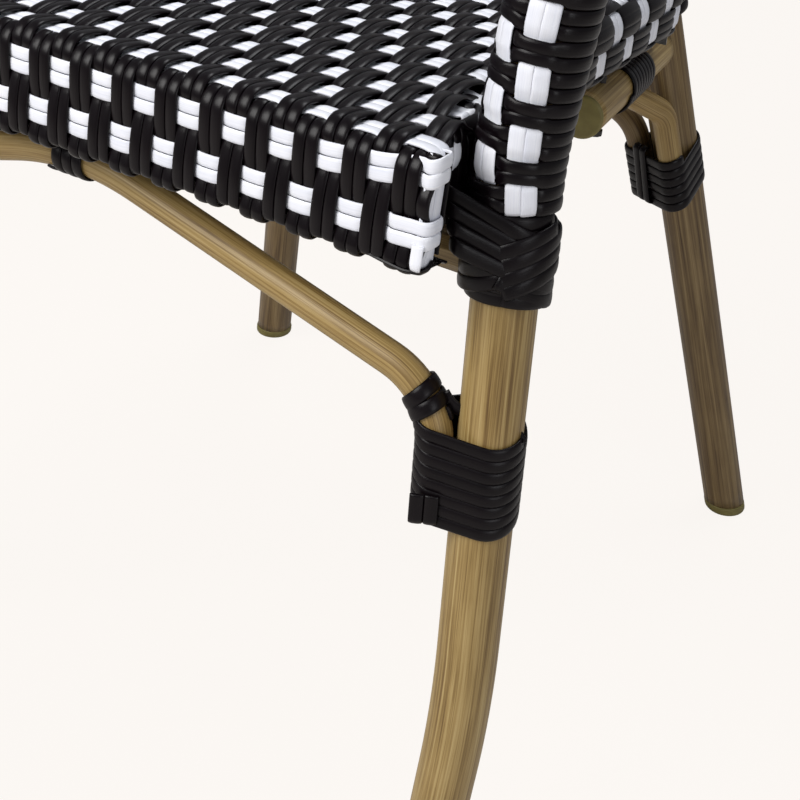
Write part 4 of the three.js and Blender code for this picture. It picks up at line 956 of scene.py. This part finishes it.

# Black filler under the weave: a sheet of painted shade that stands in for the shade between the strips, so
# that no light shows through between them
painted_shade_lining = Batch()
low = -SIDE_BAND + 7
rings = []
for y in np.concatenate([[8.0], np.arange(12, 372, 12.0), [374.0]]):
    xe = float(half_width(max(y, NOTCH_BACK_Y))) - 6 if y > HORN_BACK - 3 else 209.0
    rings.append([(-xe, y, low), (-xe, y, -5.5), (xe, y, -5.5), (xe, y, low), (xe - 6, y, low),
                  (xe - 6, y, -8.0), (-xe + 6, y, -8.0), (-xe + 6, y, low)])
painted_shade_lining.sweep(seat_to_chair(np.array(rings)))
for y0, y1, half in ((3.6, 7.6, 205.0), (374.6, 378.0, 118.0)):
    ring = [[(x, y0, -BAND + 4), (x, y0, -6), (x, y1, -6), (x, y1, -BAND + 4)] for x in (-half, half)]
    painted_shade_lining.sweep(seat_to_chair(front_lean(np.array(ring))))


# Front and side rails of the seat frame: rectangular tubes
def frame_rail(name, target, ends, section, wall=2.0):
    """A rail between two ends; section gives its corners at an end, inset by nothing or by the wall."""
    loops = [section(ends[end], inset) for end, inset in ((0, 0.0), (1, 0.0), (1, wall), (0, wall))]
    rail = Batch("grain")
    rail.sweep(seat_to_chair(np.array(loops)), flat_rows=range(4), closed=True)
    rail.build(name, METAL, [target])


def front_section(x, inset):
    front, back, low, high = 4.2 + inset, 22.5 - inset, -44.0 + inset, -6.0 - inset
    return [(x, front, low), (x, back, low), (x, back, high), (x, front, high)]


def side_section(middle, inset):
    x, y = middle
    left, right, low, high = x - 9.5 + inset, x + 8.5 - inset, -31.0 + inset, -9.0 - inset
    return [(right, y, low), (left, y, low), (left, y, high), (right, y, high)]


frame_rail("front_frame_rail", "seat_front_rail", (-196.0, 196.0), front_section)
for side, flip in (("right", 1), ("left", -1)):
    ends = [(flip * 183.0, 24.0), (flip * (float(half_width(340.0)) - 11.0), 340.0)]
    frame_rail(f"side_frame_rail_{side}", f"seat_side_rail_{side}", ends, side_section)


# Woven sleeves
SLEEVE_RADIUS = 19.8
RING_PITCH, CHECK_PERIOD, SLEEVE_STRIP = 6.28, 25.1, 6.8
SHOWN_SHARE = 0.48
TWIST_END = 75.0
RING_POINTS = 72


def sleeve_weave(line, centre_dir, angles, phase, rings, strips, stagger=0.5, starts=(0.5, 0.5), twist=0.0):
    """Rings of black strip in pairs, with pairs of white strips along the tube at the given angles."""
    line = resample(line, 2.0)
    tangents = unit(np.gradient(line, axis=0))
    ref = unit(centre_dir - np.sum(centre_dir * tangents, -1, keepdims=True) * tangents)
    square = np.cross(tangents, ref)
    run = lengths(line)

    def place(s, angle, radius):
        u, v = unit(values_at(s, run, ref)), unit(values_at(s, run, square))
        out = u * np.cos(angle)[:, None] + v * np.sin(angle)[:, None]
        return values_at(s, run, line) + out * radius[:, None], out

    def check_state(s, index):
        """Place within a check, from 0 to 1; a white pair shows where it is below SHOWN_SHARE."""
        return ((s - phase) / CHECK_PERIOD + (stagger if index % 2 else 0.0)) % 1.0

    half = SLEEVE_STRIP / SLEEVE_RADIUS
    count = int(round(run[-1] / RING_PITCH))
    pitch = run[-1] / count
    around = np.linspace(0, 2 * np.pi, RING_POINTS, endpoint=False)
    for ring in range(count):
        middle = (ring + 0.5) * pitch
        radius = np.full(RING_POINTS, SLEEVE_RADIUS - 0.55)
        s = np.full(RING_POINTS, middle)
        width = np.full(RING_POINTS, pitch * 0.985)
        for index, angle in enumerate(angles):
            state = check_state(middle, index)
            from_pair = (around - (angle + twist * min(middle, TWIST_END)) + np.pi) % (2 * np.pi) - np.pi
            near = smooth01((half + 0.14 - np.abs(from_pair)) / 0.2)
            if state < SHOWN_SHARE:
                radius -= 1.6 * near
            else:
                radius += 0.75 * near
                s += (0.75 - state) * CHECK_PERIOD * 0.26 * near
                width -= pitch * 0.13 * near
        points, out = place(s, around, radius)
        add_strip(rings, points, out, width, 1.5, 1.15, closed=True)
    for index, angle in enumerate(angles):
        s = np.arange(starts[index], run[-1] - 0.5, STEP)
        state = check_state(s, index)
        from_edge = np.minimum(np.minimum(state, np.abs(SHOWN_SHARE - state)), np.abs(1 - state))
        edge = smooth01(from_edge * CHECK_PERIOD / 2.2)
        radius = SLEEVE_RADIUS - 0.9 + np.where(state < SHOWN_SHARE, 0.75, -0.7) * edge
        for offset in (-half / 2, half / 2):
            points, out = place(s, angle + offset + twist * np.minimum(s, TWIST_END), radius)
            add_strip(strips, points, out, SLEEVE_STRIP, 1.1, 0.8)


def length_to_drop(path, drop, count=None):
    """Length along a path to a drop below the seat top; count is how many of its first points rise."""
    point, _ = drop_at(path, drop)
    return float(np.interp(point[2], path[:count, 2], lengths(path)[:count]))


arm_sleeve = cut_path(front_path, length_to_drop(front_path, 33, 60), arm_length - SLEEVE_RADIUS - 62)
for flip, side in ((1, "right"), (-1, "left")):
    b, w = Batch(), Batch()
    angles = [math.radians(angle) * flip for angle in (36, -18)]
    line = mirror_x(arm_sleeve) if flip < 0 else arm_sleeve
    sleeve_weave(line, np.array([0, -1.0, 0.0]), angles, 2.1, b, w, stagger=0.48, starts=(0.5, 12.0),
                 twist=math.radians(-0.29) * flip)
    b.build(f"arm_weave_black_{side}", BLACK_CHECK, [f"woven_arm_sleeve_{side}"])
    w.build(f"arm_weave_white_{side}", WHITE_CHECK)

b, w = Batch(), Batch()
rear_top = cut_path(rear_path, length_to_drop(rear_path, 42), lengths(rear_path)[-1])
hoop_line = np.concatenate([rear_top, hoop_path[1:-1], mirror_x(rear_top)[::-1]])
hoop_line = hoop_line[np.concatenate([[True], np.linalg.norm(np.diff(hoop_line, axis=0), axis=1) > 0.5])]
back_front = np.cross(np.array([1.0, 0, 0]), back_up)
sleeve_weave(hoop_line, back_front, [math.radians(angle) for angle in (26, -26)], 3.0, b, w)
b.build("back_sleeve_weave_black", BLACK_CHECK, ["woven_back_sleeve"])
w.build("back_sleeve_weave_white", WHITE_CHECK)

# Woven back panel
hoop_top = float(((hoop_path - back_foot) @ back_up).max())
PANEL_BOTTOM, PANEL_TOP = 112 + 8.3, hoop_top - 21.5
PANEL_CORNER = 60.0
PANEL_COLUMNS = 14


def panel_half(rise):
    """Half width of the panel at a rise, between the sleeves, with round upper corners."""
    share = np.clip((rise - (hoop_top - 20.6 - PANEL_CORNER)) / PANEL_CORNER, 0.0, 0.999)
    return post_x(rise) - 21.2 / math.cos(POST_FLARE) - PANEL_CORNER * (1 - math.sqrt(1 - share ** 2))


def add_back_strip(batch, x, rise, h, width, thick):
    """A strip on the back at places across it, rises and heights over its middle plane."""
    points = back_foot + back_up * rise[:, None] + back_front * h[:, None]
    points[:, 0] = x
    add_strip(batch, points, np.tile(back_front, (len(h), 1)), width, thick, 1.0)


b, w = Batch(), Batch()
for column in range(-PANEL_COLUMNS, PANEL_COLUMNS + 1):
    for x in (column * PAIR - HALF_PAIR, column * PAIR + HALF_PAIR):
        rises = np.arange(PANEL_BOTTOM, PANEL_TOP, STEP)
        rises = rises[[panel_half(rise) > abs(x) + 2 for rise in rises]]
        if len(rises) < 10:
            continue
        state = ((rises - PANEL_BOTTOM) / 46.0 + (0.5 if column % 2 else 0.0)) % 1.0
        h = np.where(state < 0.5, 1.9, -1.9) * np.sin(np.pi * (2 * state % 1.0)) ** 0.8
        add_back_strip(b, x, rises, h, STRIP, 1.3)
for row, row_middle in enumerate(np.arange(PANEL_BOTTOM + 11.5, PANEL_TOP - 4, 23.0)):
    for offset, width, batch, relief in ((-HALF_PAIR, STRIP, w, 0.6), (HALF_PAIR, STRIP, w, 0.6),
                                         (11.5, 9.0, b, 0.18)):
        rise = row_middle + offset
        if rise > PANEL_TOP - 3:
            continue
        half = panel_half(rise)
        x = np.arange(-half, half, STEP)
        over, edge = crossings(x, row, 3.2, 0.0)
        add_back_strip(batch, x, np.full(len(x), rise), np.where(over, relief, -relief) * edge, width, 1.1)
b.build("back_panel_weave_black", BLACK_CHECK, ["woven_back_panel"])
w.build("back_panel_weave_white", WHITE_CHECK)

black.build("seat_weave_black", BLACK_CHECK, ["woven_seat"])
white.build("seat_weave_white", WHITE_CHECK)
# The lining is the black sheet of painted shade under the weave
painted_shade_lining.build("seat_weave_lining", PAINTED_SHADE_LINING)

# Windings of flat strip
WINDING_THICK = 1.4
WINDING_CROWN = 1.1


def wind(batch, start, axis, radius, side_tubes, first, turns, pitch, tilt=np.zeros(3), width=6.2, lift=0.5,
         steps=64, samples=360):
    """A strip wound from a first height round a straight tube and others beside it that may bend away."""
    axis = unit(axis)
    n, b = side_axes(axis)
    tables = []
    for path, side_radius in side_tubes:
        rel = path - start
        h = rel @ axis
        order = np.argsort(h)
        tables.append((h[order], (rel @ n)[order], (rel @ b)[order], side_radius))
    fine = np.arange(samples + 1) / samples * 2 * np.pi
    points, outs = [], []
    for i in range(int(turns * steps) + 1):
        level = first + i / steps * pitch
        reach = np.full(len(fine), radius)
        for h, x, y, side_radius in tables:
            cx, cy = np.interp(level, h, x), np.interp(level, h, y)
            reach = np.maximum(reach, cx * np.cos(fine) + cy * np.sin(fine) + side_radius)
        reach = reach + lift + WINDING_THICK / 2
        slope = np.gradient(np.concatenate([reach[-3:-1], reach, reach[1:3]]), fine[1])[2:-2]
        px = reach * np.cos(fine) - slope * np.sin(fine)
        py = reach * np.sin(fine) + slope * np.cos(fine)
        run = np.concatenate([[0], np.cumsum(np.hypot(np.diff(px), np.diff(py)))])
        share = (i / steps) % 1.0
        x, y, angle = (np.interp(share * run[-1], run, values) for values in (px, py, fine))
        points.append(start + axis * (level + x * tilt.dot(n) + y * tilt.dot(b)) + n * x + b * y)
        outs.append(n * math.cos(angle) + b * math.sin(angle))
    add_strip(batch, points, outs, width, WINDING_THICK, WINDING_CROWN)


def coil(batch, path, start, turns, radius, pitch, width, steps=48):
    """A strip wound along a curved tube from a length along it."""
    _, n, b = frames_along(path)
    run = lengths(path)
    a = np.arange(int(turns * steps) + 1) / steps * 2 * np.pi
    s = start + a / (2 * np.pi) * pitch
    u, v = unit(values_at(s, run, n)), unit(values_at(s, run, b))
    out = u * np.cos(a)[:, None] + v * np.sin(a)[:, None]
    add_strip(batch, values_at(s, run, path) + out * radius, out, width, WINDING_THICK, WINDING_CROWN)


def straight(low, high, out_low, out_high, count):
    """Heights, distances out and turns of a straight stretch of tie strip."""
    return triples(np.linspace(low, high, count), np.linspace(out_low, out_high, count), 0.0)


def turned_end(first, last, height, out, rise, reach):
    """The same of an end that turns in under a lashing, from one angle to another."""
    a = np.linspace(first, last, 8)
    return triples(height + rise * np.sin(a), out + reach * np.cos(a), a)


def tie_strip(batch, origin, axis, out, parts, width, crown):
    heights, reaches, angles = np.concatenate(parts).T[..., None]
    facing = out * np.cos(angles) + axis * np.sin(angles)
    add_strip(batch, origin + out * reaches + axis * heights, facing, width, WINDING_THICK, crown)


def bezier(corners, count):
    share = np.linspace(0, 1, count)[:, None]
    last = len(corners) - 1
    return sum(math.comb(last, i) * corner * share ** i * (1 - share) ** (last - i)
               for i, corner in enumerate(corners))


TO_CAMERA = np.array([0.43, -0.90, 0.0])
FRONT_JOINT_DROP, REAR_JOINT_DROP, BEARER_JOINT_SETBACK = 132, 127, 303
COIL_RADIUS = BRACE_RADIUS + JOINT_GAP


def front_joint(side, flip):
    """Front leg and arch: a lashing with two tie strips, and the collar on the bend of the arch."""
    sign = -1 if flip else 1
    start, d = drop_at(front_path, FRONT_JOINT_DROP)
    brace = offset_dir(d, FRONT_TURN) * BRACE_OFFSET
    half_arch = front_arch[:len(front_arch) // 2]
    start, d, brace, half_arch, toward = sided(flip, start, d, brace, half_arch, TO_CAMERA)
    axis = -d
    face = unit(toward - toward.dot(axis) * axis)
    sideways = np.cross(axis, face) * sign
    batch = Batch()
    wind(batch, start, axis, POST_RADIUS, [(half_arch, BRACE_RADIUS)], 3.4, 7.36, 5.85,
         toward * 0.52 - unit(brace) * 0.15)
    for shift in (-0.8, 6.0):
        parts = [straight(36.0, 48.0, 11.6, 11.6, 10), turned_end(0.2, 1.9, 48.2, 7.6, 4.0, 4.0)]
        tie_strip(batch, start + brace + sideways * shift, axis, face, parts, 6.7, 1.0)
    batch.build(f"front_lashing_{side}", WINDING, [f"front_leg_lashing_{side}"])

    batch = Batch()
    middle = ARCH_END_DROP - ARCH_BEND_DROP + 2.0
    coil(batch, half_arch, middle - 14.0, 2.3, COIL_RADIUS, 6.4, 7.0)
    places = [middle - 3.0, middle - 11.0, middle - 17.0, middle - 21.0]
    high, centre, low, below = values_at(places, lengths(half_arch), half_arch)
    inner = unit(start - below + axis * 2.0)
    corners = [high + inner * 9.5 + face * 3.0, centre + inner * 10.2 + face * 3.4,
               low + inner * 10.6 + face * 2.0, start + axis * 1.0 - sideways * 13.5 + face * 2.0,
               start + axis * 9.0 - sideways * 14.0 + face * 7.0]
    curve = resample(bezier(corners, 24), STEP)
    add_strip(batch, curve, np.tile(face * 0.8 - inner * 0.2, (len(curve), 1)), 6.4, WINDING_THICK, 1.0)
    batch.build(f"arch_collar_{side}", WINDING, [f"front_arch_collar_{side}"])


def back_joint(side, flip):
    """Back leg, back arch and knee: a lashing with two tie strips."""
    start, d = drop_at(rear_path, REAR_JOINT_DROP)
    to_arch, to_knee = (offset_dir(d, turn) * BRACE_OFFSET for turn in (REAR_TURN, KNEE_TURN))
    lines = (rear_arch[:len(rear_arch) // 2], knee_path[:len(knee_path) // 2])
    start, d, to_arch, to_knee, *lines = sided(flip, start, d, to_arch, to_knee, *lines)
    axis = -d
    out = unit(to_arch + to_knee)
    along = unit(to_knee - to_arch)
    reach = unit(to_arch).dot(out) * BRACE_OFFSET + BRACE_RADIUS
    batch = Batch()
    wind(batch, start, axis, POST_RADIUS, [(line, BRACE_RADIUS) for line in lines], 1.0, 5.4, 6.3, out * 0.1)
    for shift in (-5.9, 0.9):
        parts = [turned_end(-1.7, -0.2, 0.0, reach - 1.0, 3.0, 3.4),
                 straight(1.0, 34.0, reach + 2.46, reach + 4.44, 14),
                 turned_end(0.2, 1.8, 35.0, reach + 0.9, 3.0, 3.4)]
        tie_strip(batch, start + along * shift, axis, out, parts, 6.2, 1.1)
    batch.build(f"back_lashing_{side}", WINDING, [f"back_leg_lashing_{side}"])


def bearer_joint(side, flip):
    """Side bearer and the knee that comes up beside it."""
    start, d, up, tail = sided(flip, on_bearer(BEARER_JOINT_SETBACK), bearer_dir, seat_up, knee_path)
    tail = tail[np.arange(len(tail)) > len(tail) * 0.45][::-1]
    tail = np.concatenate([[start - d * 4.0, start + d * 17.5], tail])
    batch = Batch()
    wind(batch, start, d, BEARER_RADIUS + 0.2, [(tail, BRACE_RADIUS)], 0.0, 8.6, 5.9, up * 0.10, 6.3)
    batch.build(f"bearer_lashing_strip_{side}", WINDING, [f"bearer_lashing_{side}"])


# Loops of the bundle: radius, whether round the seat too, first height, turns, pitch, slant, width, lift
BUNDLE_DROP = 48
SLANT_DIR = np.array([0.84, 0.54, 0.0])
SEAT_SIDE = seat_to_chair([(206.0, 31.0, 60.0), (206.0, 31.0, 0.0), (206.0, 31.0, -30.0),
                           (219.0, 24.0, -58.0)])
BUNDLE = [
    (15.0, False, -18.0, 6.9, 6.4, 0.02, 6.6, 0.2),
    (17.6, False, -12.6, 2.0, 5.6, 0.04, 6.6, 0.2),
    (18.4, True, -9.5, 4.2, 6.2, 0.52, 6.7, 0.5),
    (19.0, False, -3.0, 3.2, 6.4, -0.34, 6.7, 0.9),
    (18.3, False, 10.0, 2.2, 5.4, 0.16, 6.7, 0.5),
    (16.6, False, 18.6, 1.9, 3.0, 0.03, 6.7, 0.2),
]


def post_bundle(side, flip):
    """The bundle at the foot of the post sleeve."""
    start, d = drop_at(front_path, BUNDLE_DROP)
    start, d, edge, level = sided(flip, start, d, SEAT_SIDE, SLANT_DIR)
    batch = Batch()
    for radius, with_seat, first, turns, pitch, slant, width, lift in BUNDLE:
        wind(batch, start, -d, radius, [(edge, 3.0)] if with_seat else [], first, turns, pitch, level * slant,
             width, lift)
    batch.build(f"post_bundle_{side}", WINDING, [f"upper_post_winding_{side}", f"lower_post_winding_{side}"])


def arm_end(side, flip):
    """The winding where the arm meets the back post."""
    d = unit(front_path[-1] - front_path[-2])
    start, d = sided(flip, front_path[-1] - d * (48 + 20.5), d)
    batch = Batch()
    wind(batch, start, d, POST_RADIUS, [], 0.0, 3.4, 6.5, steps=56, samples=720)
    batch.build(f"arm_end_strip_{side}", WINDING, [f"arm_end_winding_{side}"])


for side, flip in (("right", False), ("left", True)):
    for joint in (front_joint, back_joint, bearer_joint, post_bundle, arm_end):
        joint(side, flip)

for name, path, carrier in (("front_apex", front_arch, front_carrier),
                            ("back_apex", rear_arch, rear_carrier)):
    _, y, z = path[int(np.argmin(np.abs(path[:, 0])))]
    carrier_line = np.array([(x, carrier[1], carrier[2]) for x in (-100.0, 100.0)])
    batch = Batch()
    wind(batch, np.array([12.0, y, z]), np.array([-1.0, 0, 0]), BRACE_RADIUS + 0.3,
         [(carrier_line, CARRIER_RADIUS)], 0.0, 3.6, 6.4, steps=56, samples=720)
    batch.build(f"{name}_strip", WINDING, [f"{name}_lashing"])

# CAD nodes that stay
KEPT_RAILS = ("front_cross_bearer", "back_cross_bearer", "back_lower_rail", "back_hoop")
for name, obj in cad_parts.items():
    if name in KEPT_RAILS:
        material = rail_bamboo_mat
    elif "_seat_screw" in name:
        material = screw_mat
    elif name.startswith(("seat_", "post_spigot")):
        material = metal_mat
    else:
        continue
    for slot in obj.material_slots:
        slot.material = material


# Floor, backdrop and light
def mix_surfaces(tree, seen, hidden_look, seen_look, target):
    """Show one look where the camera sees it directly, and light the scene with the other."""
    mix = node(tree, "ShaderNodeMixShader", {"Fac": seen, 1: hidden_look.outputs[0], 2: seen_look.outputs[0]})
    tree.links.new(mix.outputs[0], tree.nodes[target].inputs["Surface"])


FLOOR_HALF = 6
FLOOR_GLOW_SHARE = 0.93
floor_mesh = bpy.data.meshes.new("floor")
floor_corners = [(x * FLOOR_HALF, y * FLOOR_HALF, 0) for x, y in ((-1, -1), (1, -1), (1, 1), (-1, 1))]
floor_mesh.from_pydata(floor_corners, [], [(0, 1, 2, 3)])
floor = new_object("floor", floor_mesh)
floor_mat, tree = new_material("pale_floor")
surface = tree.nodes["Principled BSDF"]
surface.inputs["Base Color"].default_value = srgb(205, 200, 195)
surface.inputs["Roughness"].default_value = 0.9
glow = node(tree, "ShaderNodeEmission", in_Color=srgb(255, 251, 247), in_Strength=1.0)
seen = weighted_sum(tree, [(node(tree, "ShaderNodeLightPath").outputs["Is Camera Ray"], FLOOR_GLOW_SHARE)])
mix_surfaces(tree, seen, surface, glow, "Material Output")
floor_mesh.materials.append(floor_mat)

world = bpy.data.worlds.new("studio")
bpy.context.scene.world = world
world.use_nodes = True
tree = world.node_tree
ambient = tree.nodes["Background"]
ambient.inputs["Color"].default_value = (0.93, 0.95, 1.0, 1.0)
ambient.inputs["Strength"].default_value = 0.25
backdrop = node(tree, "ShaderNodeBackground", in_Color=srgb(251, 247, 243), in_Strength=1.0)
rays = node(tree, "ShaderNodeLightPath").outputs
direct = {0: rays["Is Camera Ray"], 1: rays["Is Transmission Ray"]}
seen = node(tree, "ShaderNodeMath", direct, operation='MAXIMUM').outputs[0]
mix_surfaces(tree, seen, ambient, backdrop, "World Output")


def area_light(name, at, look, size, power, colour):
    data = bpy.data.lights.new(name, 'AREA')
    data.shape = 'RECTANGLE'
    data.size, data.size_y = size
    data.energy = power
    data.color = colour
    light = new_object(name, data)
    light.location = Vector(at)
    light.rotation_euler = (Vector(look) - Vector(at)).to_track_quat('-Z', 'Y').to_euler()


area_light("key", (-0.7, -1.7, 1.9), (0.05, 0.0, 0.4), (1.8, 1.3), 60, (1.0, 0.985, 0.97))
area_light("top", (0.2, 0.9, 2.4), (0.0, 0.0, 0.4), (1.4, 0.8), 24, (0.96, 0.98, 1.0))
area_light("fill", (2.0, -1.2, 0.9), (0.1, 0.0, 0.35), (0.8, 1.0), 9, (0.97, 0.98, 1.0))
